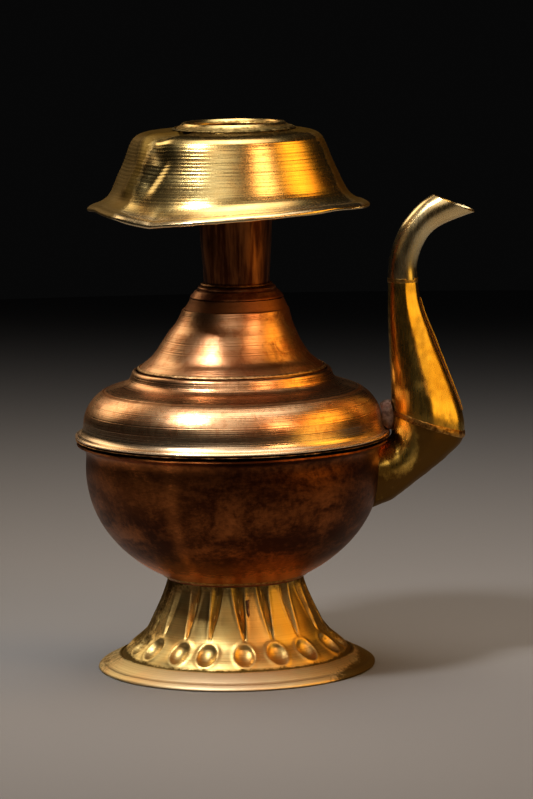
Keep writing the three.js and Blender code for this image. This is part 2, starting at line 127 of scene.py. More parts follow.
def make_piece(name, mesh, nodes, wall=0, corner=math.radians(38)):
    """Closes a mesh into a piece of the pot, with the wall it is given, that stands for CAD nodes."""
    if wall:
        bmesh.ops.solidify(mesh, geom=mesh.faces[:], thickness=wall)
    for face in mesh.faces:
        face.smooth = True
    for edge in mesh.edges:
        edge.smooth = edge.is_manifold and edge.calc_face_angle() < corner
    data = bpy.data.meshes.new(name)
    mesh.to_mesh(data)
    mesh.free()
    piece = bpy.data.objects.new(name, data)
    bpy.context.scene.collection.objects.link(piece)
    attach(piece, "root")
    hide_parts(*nodes)
    return piece


def foot_outline():
    hem = curve_through([
        (FOOT_RIM - 2.6 * MM, 0), (FOOT_RIM - 0.8 * MM, 0.05 * MM), (FOOT_RIM - 0.1 * MM, 0.7 * MM),
        (FOOT_RIM - 0.6 * MM, 1.5 * MM), (FOOT_RIM - 2.4 * MM, 2.7 * MM),
    ], 0.4 * MM)
    flange = curve_through([
        (FOOT_RIM - 2.7 * MM, 2.7 * MM), (FOOT_RIM - 3.6 * MM, 2.9 * MM), (FOOT_RIM - 6 * MM, 4.5 * MM),
        (FOOT_CREASE, 6.9 * MM), (FOOT_CREASE - 0.5 * MM, 6.5 * MM),
    ], 0.9 * MM)
    cone = curve_through([
        (FOOT_CREASE - 0.9 * MM, 6.7 * MM), (FOOT_CREASE - 3.8 * MM, 9.8 * MM),
        (FOOT_CREASE - 6.8 * MM, 12.3 * MM), (FOOT_CREASE - 10.8 * MM, 15.8 * MM),
        (FOOT_CREASE - 13 * MM, 19 * MM), (FOOT_CREASE - 15.7 * MM, 24.3 * MM),
        (FOOT_CREASE - 18.1 * MM, 29 * MM), (FOOT_CREASE - 20.7 * MM, 35 * MM),
        (FOOT_CREASE - 22.4 * MM, 40 * MM), (FOOT_CREASE - 22.7 * MM, FOOT_TOP),
    ], 0.7 * MM)
    return hem + flange + cone


# Where each flute stands, in degrees from the front toward the spout, and how far it leans.
FLUTES = [
    (5, 4), (24, 1), (43.9, -1), (66.2, 2), (83, 0), (101, -1), (121, 1), (139, 2), (158.5, 0), (177, -2),
    (196.5, 1), (215, 0), (234, 2), (252, -1), (271.5, 1), (290.4, 2), (306, 1), (326.2, 1), (343.4, -2),
]
DIMPLE_RADIUS = 4.5 * MM


FLUTE_TIP = 18.2 * MM
DIMPLE_HEIGHT = 12.8 * MM
DIMPLE_PLACE = FOOT_CREASE - 7.3 * MM


def chased_depth(point):
    """How deep the flutes and dimples are driven in at a point of the foot."""
    angle, radius = around(point)
    depth = 0
    for place, lean in FLUTES:
        off = (angle - math.radians(place) + math.pi) % (2 * math.pi) - math.pi
        if abs(off) > 0.35:
            continue
        rise = (point.z - FLUTE_TIP) / (FOOT_TOP - FLUTE_TIP)
        if rise > 0:
            across = (off + math.radians(lean) * (rise - 0.2)) * radius
            half = (0.5 + 2.3 * rise ** 0.75) * MM
            groove = max(0, 1 - abs(across) / half)
            lip = math.exp(-((abs(across) - half - 0.6 * MM) / (0.8 * MM)) ** 2)
            depth += (2.5 * groove ** 1.1 - 0.3 * lip) * MM * min(1, 2 * rise) ** 0.7
        slide = 0.76 * math.hypot(radius - DIMPLE_PLACE, point.z - DIMPLE_HEIGHT)
        away = math.hypot(off * radius, slide) / DIMPLE_RADIUS
        if away < 1.8:
            dish = max(0, 1 - away * away)
            rim = math.exp(-((away - 1.15) / 0.22) ** 2)
            depth += (1.8 * dish ** 0.85 - 0.3 * rim) * MM
    return depth + 0.16 * MM * wander(point, 14 * MM)


foot_skin = spin_skin(foot_outline(), POT_X, 24 * len(FLUTES))
push(foot_skin, chased_depth)
foot = make_piece("foot_fluted", foot_skin, ["foot"], SHEET)


class Wire:
    """One output in a material's node tree. Sums, products and the like of wires add Math nodes."""

    def __init__(self, tree, socket):
        self.tree = tree
        self.socket = socket

    def node(self, kind, settings, inputs, output=0):
        """Adds a node: its settings are set first, then its inputs get numbers, colours or wires."""
        made = self.tree.nodes.new("ShaderNode" + kind)
        for name, value in settings.items():
            if name == "stops":
                ramp = made.color_ramp.elements
                while len(ramp) < len(value):
                    ramp.new(1)
                for stop, (position, colour) in zip(ramp, value):
                    stop.position = position
                    stop.color = (*colour, 1)
            else:
                setattr(made, name, value)
        for name, value in inputs.items():
            if isinstance(value, Wire):
                self.tree.links.new(value.socket, made.inputs[name])
            else:
                made.inputs[name].default_value = value
        return Wire(self.tree, made.outputs[output])

    def math(self, operation, *values, clamp=False):
        inputs = dict(enumerate(values))
        return self.node("Math", {"operation": operation, "use_clamp": clamp}, inputs)

    def __add__(self, other):
        return self.math("ADD", self, other)

    __radd__ = __add__

    def __sub__(self, other):
        return self.math("SUBTRACT", self, other)

    def __rsub__(self, other):
        return self.math("SUBTRACT", other, self)

    def __mul__(self, other):
        return self.math("MULTIPLY", self, other)

    __rmul__ = __mul__

    def __truediv__(self, other):
        return self.math("DIVIDE", self, other)

    def __pow__(self, other):
        return self.math("POWER", self, other)

    def between(self, low, high):
        """Rises smoothly from 0 to 1 as this value goes from low to high."""
        limits = {"From Min": low, "From Max": high, "Value": self}
        return self.node("MapRange", {"interpolation_type": "SMOOTHSTEP"}, limits)

    def near(self, place, reach):
        """1 where this value is at a place, falling smoothly to 0 at a reach from it."""
        return 1 - self.math("ABSOLUTE", self - place).between(0, reach)

    def grain(self, size, detail=3, stretch=(1, 1, 1), rough=0.55, warp=0):
        """Noise whose lumps are about a size across, in metres, and may be stretched."""
        along = [1 / (size * each) for each in stretch]
        place = self.node("VectorMath", {"operation": "MULTIPLY"}, {0: self, 1: along})
        inputs = {"Vector": place, "Scale": 1, "Detail": detail, "Roughness": rough, "Distortion": warp}
        return self.node("TexNoise", {}, inputs)

    def tint(self, low, high):
        """A colour that goes from one to the other as this value goes from 0 to 1."""
        inputs = {0: self, 6: low if isinstance(low, Wire) else (*low, 1)}
        inputs[7] = high if isinstance(high, Wire) else (*high, 1)
        return self.node("Mix", {"data_type": "RGBA"}, inputs, 2)


class Metal:
    """A metal's material: its shader, and wires for the places on the piece that wears it."""

    def __init__(self, name, centre_x=POT_X):
        self.material = bpy.data.materials.new(name)
        self.material.use_nodes = True
        tree = self.material.node_tree
        self.shader = tree.nodes["Principled BSDF"]
        self.shader.inputs["Metallic"].default_value = 1
        start = Wire(tree, None)
        self.start = start
        place = start.node("TexCoord", {}, {}, "Object")
        inputs = {0: place, 1: (-centre_x, 0, 0)}
        self.place = start.node("VectorMath", {"operation": "ADD"}, inputs)
        self.x, self.y, self.z = (start.node("SeparateXYZ", {}, {0: self.place}, i) for i in range(3))
        self.radius = start.math("SQRT", self.x * self.x + self.y * self.y)
        self.turn = start.math("ARCTAN2", self.x, self.y * -1)
        self.side = self.x / self.radius

    def rings(self, pitch, seed=0.0):
        """Spinning marks: uneven rings, a pitch apart, that are the same all the way round."""
        down = (self.z * 1.15 - self.radius * 0.85) / pitch + seed
        inputs = {"W": down, "Scale": 1, "Detail": 2, "Roughness": 0.6}
        return self.start.node("TexNoise", {"noise_dimensions": "1D"}, inputs)

    def wear(self, piece, colour, roughness, height=None, depth=0.1 * MM):
        """Puts the metal on a piece, with relief of the depth given where a height is given."""
        tree = self.material.node_tree
        for name, value in {"Base Color": colour, "Roughness": roughness}.items():
            tree.links.new(value.socket, self.shader.inputs[name])
        if height is not None:
            bump = self.start.node("Bump", {}, {"Distance": depth, "Height": height})
            tree.links.new(bump.socket, self.shader.inputs["Normal"])
        piece.data.materials.clear()
        piece.data.materials.append(self.material)


def sheet_brass(name, piece, tarnish_and_shade_at, shine_at=None, wear_and_light_at=None, centre_x=POT_X):
    """Brass sheet: spinning marks, fine scratches, pale and golden clouds, and olive-brown tarnish; a piece's masks may
    add painted shade to the tarnish and the olive, and a painted highlight to the pale tint.
    """
    metal = Metal(name, centre_x)
    cloud = metal.place.grain(17 * MM, 4)
    fleck = metal.place.grain(2.3 * MM, 5, rough=0.7)
    rings = metal.rings(1.25 * MM)
    scratch = metal.place.grain(0.5 * MM, 2, (9, 9, 0.6))
    # A piece's tarnish mask may carry painted shade as well as tarnish.
    tarnish_and_shade = tarnish_and_shade_at(metal)
    dark = (tarnish_and_shade * 1.5 + fleck * 1.1 + cloud * 0.5 - 1.35).between(0, 0.5)
    clean = cloud.between(0.38, 0.68).tint((0.80, 0.65, 0.31), (0.88, 0.58, 0.23))
    clean = (rings.between(0.35, 0.75) * 0.4).tint(clean, (0.58, 0.40, 0.12))
    if wear_and_light_at:
        # The wear masks may darken the olive with painted shade and lighten the pale tint with a painted highlight.
        aged_and_shaded, rubbed_and_lit = wear_and_light_at(metal)
        clean = aged_and_shaded.tint(clean, (0.44, 0.29, 0.08))
        clean = rubbed_and_lit.tint(clean, (0.95, 0.80, 0.58))
    colour = (dark * 0.92).tint(clean, (0.12, 0.075, 0.014))
    shine = shine_at(metal) if shine_at else 0.2
    roughness = shine + dark * 0.3 + rings * 0.1 + fleck.between(0.5, 0.8) * 0.1
    relief = rings * 0.8 + scratch * 0.1 + fleck * 0.2 + dark * 0.2
    metal.wear(piece, colour, roughness, relief, 0.07 * MM)
    return metal


def foot_tarnish_and_shade(metal):
    """Darker at the far left and right seen from the front, along the crease round the flange, on the flange's right
    side, over the cone and most just under the collar; the far sides and the flange's right side are painted shade over
    the speckled tarnish.
    """
    # Painted shade: the far left and right, seen from the front.
    sides = metal.start.math("ABSOLUTE", metal.turn - 0.1).between(0.8, 1.6)
    crease = metal.radius.near(FOOT_CREASE - 0.8 * MM, 2.2 * MM)
    # Painted shade: the flange's right side.
    right = metal.side.between(0.5, 0.9) * metal.radius.between(FOOT_CREASE, FOOT_RIM)
    cone = metal.z.between(9 * MM, 14 * MM) * 0.15 + metal.z.between(FOOT_TOP - 5 * MM, FOOT_TOP) * 0.25
    return sides * 0.4 + crease * 0.6 + right * 0.8 + cone + 0.1


def foot_shine(metal):
    """The flange is rubbed by every table it slides on, so it has a satin face."""
    return 0.36 + metal.radius.between(FOOT_CREASE - 0.6 * MM, FOOT_CREASE + 0.2 * MM) * 0.1


def foot_wear_and_light(metal):
    """The cone's middle has aged a little to olive and is painted darker olive on its front and right as painted shade;
    the flange is rubbed pale all round and painted paler toward the front as a painted highlight.
    """
    # Painted shade: darker olive on the front and right of the cone.
    aged_and_shaded = metal.z.between(13 * MM, 24 * MM) * (0.08 + metal.side.between(-0.7, 0) * 0.42)
    flange = metal.radius.between(FOOT_CREASE, FOOT_CREASE + 1 * MM)
    # Painted highlight: the flange paler toward the front.
    return aged_and_shaded, flange * (0.25 + metal.turn.near(-0.1, 0.9) * 0.6)


sheet_brass("foot_brass", foot, foot_tarnish_and_shade, foot_shine, foot_wear_and_light)

# ------------------------------------------------------------------------------------ foot's top
# A short copper collar is pressed on the cone's cut top, and the bowl's round bottom sits down in
# it. The bowl was brazed to it from outside, which left a bright uneven bead in the corner.
COLLAR_RADIUS = (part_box("foot_collar")[1].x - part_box("foot_collar")[0].x) / 2
COLLAR_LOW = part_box("foot_collar")[0].z
COLLAR_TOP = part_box("foot_collar")[1].z
SEAT_RADIUS = (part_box("bowl_seat_braze")[1].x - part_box("bowl_seat_braze")[0].x) / 2
SEAT_LOW, SEAT_TOP = (corner.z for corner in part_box("bowl_seat_braze"))
BOWL_RADIUS = 68 * MM
BOWL_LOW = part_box("bowl")[0].z
BOWL_DEPTH = 56.5 * MM
EQUATOR = BOWL_LOW + BOWL_DEPTH


def spin_ring(corners, centre_x, columns, step=0.3 * MM):
    """A solid ring whose section is a closed smooth outline."""
    ring = bmesh.new()
    spin_line(ring, curve_through([*corners, corners[0]], step)[:-1], True, centre_x, columns)
    return ring


def bowl_height(radius):
    return EQUATOR - BOWL_DEPTH * math.sqrt(1 - (radius / BOWL_RADIUS) ** 2)


collar_ring = spin_ring([
    (COLLAR_RADIUS - 0.4 * MM, COLLAR_LOW), (COLLAR_RADIUS, COLLAR_LOW + 0.6 * MM),
    (COLLAR_RADIUS - 0.1 * MM, COLLAR_LOW + 1.5 * MM),
    (COLLAR_RADIUS - 0.5 * MM, bowl_height(COLLAR_RADIUS) - 0.5 * MM),
    (COLLAR_RADIUS - 2.3 * MM, bowl_height(COLLAR_RADIUS - 2.3 * MM) - 0.5 * MM),
    (COLLAR_RADIUS - 2.5 * MM, COLLAR_LOW + 0.1 * MM),
], POT_X, 192)
push(collar_ring, lambda point: 0.12 * MM * wander(point, 5 * MM))
foot_collar = make_piece("foot_collar_ring", collar_ring, ["foot_collar"])

seat_bead = spin_ring([
    (SEAT_RADIUS - 0.5 * MM, SEAT_LOW + 0.9 * MM), (SEAT_RADIUS, SEAT_TOP - 0.2 * MM),
    (SEAT_RADIUS - 1 * MM, SEAT_TOP - 0.5 * MM), (SEAT_RADIUS - 1.8 * MM, SEAT_LOW + 0.5 * MM),
    (SEAT_RADIUS - 1.3 * MM, SEAT_LOW + 0.1 * MM),
], POT_X, 256)
push(seat_bead, lambda point: 0.22 * MM * wander(point, 2.5 * MM) + 0.1 * MM * wander(point, 9 * MM))
bowl_seat = make_piece("bowl_seat_bead", seat_bead, ["bowl_seat_braze"])


def old_copper(name, piece, deep, warm, shine, rubbed_and_lit_at=None, streak=(1, 1, 0.3), centre_x=POT_X):
    """Handled copper under a dark brown skin: patches worn back to warmer metal, and small scratches; a piece's rubbed
    mask adds painted light on top, lifting the warm colour up to 2.4 times.
    """
    metal = Metal(name, centre_x)
    patch = metal.place.grain(22 * MM, 5, (1.6, 1.6, 0.8), 0.6, 0.6)
    speck = metal.place.grain(2.6 * MM, 5, rough=0.65)
    brush = metal.place.grain(0.6 * MM, 3, [4 * each for each in streak])
    worn_and_lit = (patch * 0.75 + speck * 0.35 + brush * 0.12).between(0.5, 0.82)
    if rubbed_and_lit_at:
        # Painted light: a piece's rubbed mask lifts the colour past the worn metal, up to 2.4 times as bright.
        worn_and_lit = worn_and_lit + rubbed_and_lit_at(metal) * (0.4 + brush)
        warm = worn_and_lit.between(1, 2).tint(warm, [2.4 * part for part in warm])
        worn_and_lit = metal.start.math("MINIMUM", worn_and_lit, 1)
    colour = worn_and_lit.tint(deep, warm)
    colour = speck.between(0.62, 0.78).tint(colour, [0.5 * part for part in deep])
    roughness = shine + speck * 0.18 + (1 - worn_and_lit) * 0.12 + brush * 0.08
    metal.wear(piece, colour, roughness, brush * 0.4 + speck * 0.6 + worn_and_lit * 0.3, 0.05 * MM)
    return metal


def run_braze(name, piece, colour_low, colour_high, centre_x=POT_X):
    """Spelter that has run and set: bright where it was filed, dark and pitted where it wasn't."""
    metal = Metal(name, centre_x)
    lump = metal.place.grain(2.2 * MM, 4, rough=0.7)
    spot = metal.place.grain(7 * MM, 3)
    colour = lump.between(0.35, 0.65).tint(colour_low, colour_high)
    roughness = 0.3 + lump * 0.2 + spot.between(0.5, 0.7) * 0.15
    metal.wear(piece, colour, roughness, lump, 0.2 * MM)
    return metal


old_copper("collar_copper", foot_collar, (0.30, 0.11, 0.045), (0.62, 0.30, 0.14), 0.25)
run_braze("seat_braze", bowl_seat, (0.32, 0.19, 0.08), (0.75, 0.52, 0.27))

# ------------------------------------------------------------------------------------------- bowl
# The bowl is raised from one copper disc: a half ellipse with its lip turned out a little to meet
# the shoulder. It was never polished again, so its brown skin is thick, patchy and full of runs.
LIP_RADIUS = (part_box("bowl")[1].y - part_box("bowl")[0].y) / 2
LIP_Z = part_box("bowl")[1].z
SPOUT_HOLE = Vector((POT_X + 68 * MM, 0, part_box("spout_saddle")[0].z + 16 * MM))
HOLE_RADIUS = 12 * MM


def bowl_outline():
    turns = [(-90 + 4 * step) for step in range(24)]
    belly = [
        (BOWL_RADIUS * math.cos(math.radians(turn)), EQUATOR + BOWL_DEPTH * math.sin(math.radians(turn)))
        for turn in turns
    ]
    belly[0] = (0, BOWL_LOW)
    flare = [(BOWL_RADIUS - 0.3 * MM, LIP_Z - 5.6 * MM), (BOWL_RADIUS + 0.8 * MM, LIP_Z - 3 * MM)]
    return curve_through([*belly, *flare, (LIP_RADIUS, LIP_Z - 0.8 * MM)], 1.5 * MM)


bowl_skin = spin_skin(bowl_outline(), POT_X, 256)
hole = [face for face in bowl_skin.faces if (face.calc_center_median() - SPOUT_HOLE).length < HOLE_RADIUS]
bmesh.ops.delete(bowl_skin, geom=hole, context="FACES")
push(bowl_skin, lambda point: 0.22 * MM * wander(point, 26 * MM) + 0.05 * MM * wander(point, 8 * MM, 3))
bowl = make_piece("bowl_raised", bowl_skin, ["bowl"], SHEET)


def bowl_painted_light(metal):
    """Painted light on the brown skin: a painted highlight round the bottom, a painted highlight on the left below the
    flange, and a narrow lighter stripe down the front left.
    """
    # Painted highlight round the bottom.
    bottom = metal.z.between(BOWL_LOW + 22 * MM, BOWL_LOW + 5 * MM)
    # Painted highlight on the left, below the flange.
    left = metal.turn.near(-0.8, 0.7) * metal.z.between(EQUATOR - 20 * MM, EQUATOR + 5 * MM)
    # A narrow lighter stripe down the front left.
    run = metal.turn.near(-0.42, 0.09) * 0.5
    return bottom * 2.6 + left * 0.8 + run


old_copper("bowl_patina", bowl, (0.072, 0.023, 0.008), (0.38, 0.14, 0.042), 0.2, bowl_painted_light)

# -------------------------------------------------------------------------------------- belly seam
# The bowl's lip and the shoulder's flange are hammered together over a bead of braze. It shows as
# a thin line with gaps and drips, brighter where the edge of the flange has rubbed it.
SEAM_RADIUS = (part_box("belly_seam_braze")[1].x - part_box("belly_seam_braze")[0].x) / 2
SEAM_LOW, SEAM_TOP = (corner.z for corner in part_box("belly_seam_braze"))
seam_bead = spin_ring([
    (SEAM_RADIUS + 0.2 * MM, SEAM_LOW - 0.1 * MM), (SEAM_RADIUS + 0.8 * MM, (SEAM_LOW + SEAM_TOP) / 2),
    (SEAM_RADIUS + 0.4 * MM, SEAM_TOP + 0.1 * MM), (SEAM_RADIUS - 2.2 * MM, SEAM_TOP), (SEAM_RADIUS - 2.2 * MM, SEAM_LOW),
], POT_X, 256, 0.4 * MM)
push(seam_bead, lambda point: (0.12 + 0.35 * wander(point, 4 * MM)) * MM)
belly_seam = make_piece("belly_seam_bead", seam_bead, ["belly_seam_braze"])
run_braze("belly_braze", belly_seam, (0.2, 0.1, 0.04), (0.6, 0.38, 0.18))

# ---------------------------------------------------------------------------------------- shoulder
# The shoulder is spun from a copper disc over a wooden form: a rolled flange, a hollow, a bulge, a
# fine groove and a band that ends in a lip. The tool has left close rings in it, and the surface
# was polished, so its stains show.
FLANGE_RADIUS = (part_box("shoulder")[1].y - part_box("shoulder")[0].y) / 2
FLANGE_Z, STEP_Z = (corner.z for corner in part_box("shoulder"))
STEP_RADIUS = 44.6 * MM


def shoulder_outline():
    roll = curve_through([
        (FLANGE_RADIUS - 1.5 * MM, FLANGE_Z + 0.1 * MM), (FLANGE_RADIUS - 0.3 * MM, FLANGE_Z + 0.2 * MM),
        (FLANGE_RADIUS, FLANGE_Z + 0.8 * MM), (FLANGE_RADIUS - 0.7 * MM, FLANGE_Z + 1.4 * MM),
        (FLANGE_RADIUS - 2 * MM, FLANGE_Z + 1.9 * MM), (FLANGE_RADIUS - 3.3 * MM, FLANGE_Z + 3.7 * MM),
        (FLANGE_RADIUS - 3.8 * MM, FLANGE_Z + 6.4 * MM), (FLANGE_RADIUS - 4 * MM, FLANGE_Z + 8.4 * MM),
        (FLANGE_RADIUS - 4.8 * MM, FLANGE_Z + 11.6 * MM), (FLANGE_RADIUS - 6.4 * MM, FLANGE_Z + 14.8 * MM),
        (FLANGE_RADIUS - 8.9 * MM, FLANGE_Z + 18 * MM), (FLANGE_RADIUS - 11.9 * MM, FLANGE_Z + 20.5 * MM),
        (FLANGE_RADIUS - 13.2 * MM, FLANGE_Z + 21.2 * MM),
    ], 0.55 * MM)
    band = curve_through([
        (FLANGE_RADIUS - 13.5 * MM, FLANGE_Z + 21.1 * MM), (FLANGE_RADIUS - 14.4 * MM, FLANGE_Z + 21.7 * MM),
        (STEP_RADIUS + 9.4 * MM, STEP_Z - 7.6 * MM), (STEP_RADIUS + 6.4 * MM, STEP_Z - 6.6 * MM),
        (STEP_RADIUS + 4.2 * MM, STEP_Z - 5.4 * MM), (STEP_RADIUS + 2.9 * MM, STEP_Z - 4 * MM),
        (STEP_RADIUS + 2.2 * MM, STEP_Z - 2.2 * MM), (STEP_RADIUS + 1.6 * MM, STEP_Z - 0.8 * MM),
        (STEP_RADIUS + 0.8 * MM, STEP_Z - 0.1 * MM), (STEP_RADIUS, STEP_Z - 0.1 * MM),
    ], 0.45 * MM)
    return roll + band


def spun_ripple(point, pitch, height):
    """The ridge that the spinning tool leaves at each turn, not quite even."""
    along = point.z * 1.2 - around(point)[1] * 0.8
    return height * math.sin(2 * math.pi * along / pitch + 1.5 * wander(point, 30 * MM))


def shoulder_dents(point):
    radius = around(point)[1]
    wave = 0.3 * MM * wander(point, 24 * MM, 5) * min(1, radius / FLANGE_RADIUS) ** 2
    edge = 0.35 * MM * wander(point, 40 * MM, 8) if radius > FLANGE_RADIUS - 2 * MM else 0
    return wave + edge + spun_ripple(point, 1.3 * MM, 0.007 * MM)


shoulder_skin = spin_skin(shoulder_outline(), POT_X, 256)
push(shoulder_skin, shoulder_dents)
shoulder = make_piece("shoulder_spun", shoulder_skin, ["shoulder"], SHEET)


def spun_copper(name, piece, stain_and_shade_at, shine, bright, deep, rubbed_and_lit_at=None):
    """Polished copper with close spinning rings, rosy and golden clouds, and dark water stains; a piece's stain mask
    may add painted shade to the brown, and its rubbed mask a painted highlight.
    """
    metal = Metal(name)
    cloud = metal.place.grain(20 * MM, 4, (1.5, 1.5, 0.7), 0.6)
    stain = metal.place.grain(9 * MM, 5, (1.5, 1.5, 1), 0.65, 0.8)
    speck = metal.place.grain(1.8 * MM, 4, rough=0.7)
    rings = metal.rings(0.9 * MM)
    base = cloud.between(0.35, 0.68).tint(bright, deep)
    base = (rings.between(0.4, 0.8) * 0.45).tint(base, (0.58, 0.29, 0.12))
    blotch = metal.place.grain(5 * MM, 4, (1, 1, 1.7), 0.7, 1.2)
    base = (blotch.between(0.5, 0.6) * 0.4).tint(base, (0.56, 0.21, 0.08))
    if rubbed_and_lit_at:
        # The rubbed mask's pale tint is partly a painted highlight.
        base = rubbed_and_lit_at(metal).tint(base, (1, 0.80, 0.56))
    # The stain mask may add painted shade to the brown stains.
    brown = (stain + stain_and_shade_at(metal) * 0.6 + speck * 0.2).between(0.74, 1.0)
    colour = (brown * 0.85).tint(base, (0.2, 0.075, 0.02))
    roughness = shine + brown * 0.2 + rings * 0.1 + speck.between(0.55, 0.8) * 0.1
    metal.wear(piece, colour, roughness, rings + speck * 0.3 + brown * 0.2, 0.09 * MM)
    return metal


def shoulder_stain_and_shade(metal):
    """Painted shade on the outer shoulder at the far left and right, and dirt in the fine groove that polishing never
    reached.
    """
    # Painted shade: the far left and right, seen from the front.
    sides = metal.start.math("ABSOLUTE", metal.turn - 0.05).between(0.9, 1.5)
    groove = metal.radius.near(FLANGE_RADIUS - 13.5 * MM, 1.1 * MM)
    return sides * 0.35 + groove * 0.8


def flange_rubbed_and_highlight(metal):
    """The flange's rolled edge is what the pot is carried and wiped by, and its pale tint is also a painted highlight
    along the roll.
    """
    # Painted highlight along the roll, together with wear.
    return metal.radius.between(FLANGE_RADIUS - 4.2 * MM, FLANGE_RADIUS - 3.4 * MM) * 0.8


spun_copper(
    "shoulder_copper", shoulder, shoulder_stain_and_shade, 0.23, (0.95, 0.66, 0.40), (0.90, 0.50, 0.28), flange_rubbed_and_highlight,
)

# -------------------------------------------------------------------------------------------- dome
# The dome is spun too, a concave cone whose foot drops inside the shoulder's lip and is run round
# with soft solder. A crisp edge near its top ends the polished part, and a dark cone carries the neck.
DOME_LOW, DOME_TOP = (corner.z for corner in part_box("dome"))
DOME_RADIUS = (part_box("dome")[1].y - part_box("dome")[0].y) / 2
NECK_X = (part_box("neck_tube")[0].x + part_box("neck_tube")[1].x) / 2


def lean(skin, inner, outer):
    """Draws a skin's middle sideways, so that it meets the neck, which stands off the pot's axis."""
    for vertex in skin.verts:
        share = (outer - around(vertex.co)[1]) / (outer - inner)
        share = min(1, max(0, share))
        vertex.co.x += (NECK_X - POT_X) * share * share * (3 - 2 * share)


def dome_outline():
    skirt = [(DOME_RADIUS, DOME_LOW), (DOME_RADIUS, STEP_Z - 0.6 * MM)]
    waist = curve_through([
        (DOME_RADIUS - 0.6 * MM, STEP_Z + 0.9 * MM), (DOME_RADIUS - 3 * MM, STEP_Z + 3.1 * MM),
        (DOME_RADIUS - 6.3 * MM, STEP_Z + 5.9 * MM), (DOME_RADIUS - 8.9 * MM, STEP_Z + 9.5 * MM),
        (DOME_RADIUS - 11.4 * MM, STEP_Z + 13.5 * MM), (DOME_RADIUS - 13.6 * MM, STEP_Z + 17.5 * MM),
        (DOME_RADIUS - 15.9 * MM, STEP_Z + 21.2 * MM), (DOME_RADIUS - 17.4 * MM, STEP_Z + 24.6 * MM),
        (DOME_RADIUS - 18.3 * MM, STEP_Z + 27.2 * MM), (DOME_RADIUS - 18.6 * MM, STEP_Z + 28 * MM),
    ], 0.55 * MM)
    cone = curve_through([
        (DOME_RADIUS - 19.2 * MM, STEP_Z + 28.3 * MM), (DOME_RADIUS - 20.4 * MM, STEP_Z + 30.4 * MM),
        (DOME_RADIUS - 21.7 * MM, DOME_TOP),
    ], 0.5 * MM)
    return skirt + waist + cone


dome_skin = spin_skin(dome_outline(), POT_X, 192)
lean(dome_skin, DOME_RADIUS - 21.7 * MM, DOME_RADIUS - 10 * MM)
push(dome_skin, lambda point: spun_ripple(point, 1.1 * MM, 0.006 * MM) + 0.18 * MM * wander(point, 16 * MM, 2))
dome = make_piece("dome_spun", dome_skin, ["dome"], SHEET)


def dome_stain_and_shade(metal):
    """The cone above the edge was left dull; the far left and right, and the right side most, are darkened as painted
    shade.
    """
    # Painted shade: the far left and right, seen from the front.
    sides = metal.start.math("ABSOLUTE", metal.turn).between(0.8, 1.5)
    # Painted shade: the right side.
    right = metal.side.between(0.25, 0.7)
    return metal.z.between(STEP_Z + 27.6 * MM, STEP_Z + 28.3 * MM) * 0.9 + sides * 0.3 + right * 0.3


spun_copper("dome_copper", dome, dome_stain_and_shade, 0.28, (0.82, 0.52, 0.31), (0.74, 0.37, 0.19))

SOLDER_RADIUS = (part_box("dome_solder")[1].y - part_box("dome_solder")[0].y) / 2
SOLDER_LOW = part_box("dome_solder")[0].z
dome_bead = spin_ring([
    (SOLDER_RADIUS, SOLDER_LOW + 0.1 * MM), (SOLDER_RADIUS - 0.3 * MM, SOLDER_LOW + 0.6 * MM),
    (SOLDER_RADIUS - 1.2 * MM, SOLDER_LOW + 1.1 * MM), (SOLDER_RADIUS - 1 * MM, SOLDER_LOW),
], POT_X, 256)
push(dome_bead, lambda point: 0.16 * MM * wander(point, 3 * MM))
dome_solder = make_piece("dome_solder_bead", dome_bead, ["dome_solder"])


def soft_solder(name, piece, centre_x=POT_X):
    """Dull grey solder with a rosy bloom where it took up copper, smeared on by hand."""
    metal = Metal(name, centre_x)
    smear = metal.place.grain(3 * MM, 5, rough=0.7)
    bloom = metal.place.grain(8 * MM, 3)
    colour = smear.between(0.35, 0.7).tint((0.16, 0.11, 0.1), (0.46, 0.38, 0.36))
    colour = (bloom.between(0.45, 0.7) * 0.6).tint(colour, (0.45, 0.24, 0.2))
    metal.shader.inputs["Metallic"].default_value = 0.85
    metal.wear(piece, colour, 0.42 + smear * 0.25, smear, 0.3 * MM)
    return metal


run_braze("dome_foot_braze", dome_solder, (0.35, 0.2, 0.09), (0.8, 0.56, 0.32))

# -------------------------------------------------------------------------------------------- neck
# The neck is copper sheet rolled to a tube that opens toward the mouth, brazed down its back, and
# let into a turned collar on the dome. It was never polished: streaks run down it from the hood.
COLLAR_FOOT, NECK_COLLAR_TOP = (corner.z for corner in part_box("neck_collar"))
NECK_COLLAR = (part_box("neck_collar")[1].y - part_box("neck_collar")[0].y) / 2
NECK_LOW, NECK_TOP = (corner.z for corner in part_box("neck_tube"))
NECK_MOUTH = (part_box("neck_tube")[1].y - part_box("neck_tube")[0].y) / 2
NECK_FOOT = 14.7 * MM


def neck_radius(height):
    return NECK_FOOT + (NECK_MOUTH - NECK_FOOT) * (height - NECK_LOW) / (NECK_TOP - NECK_LOW)


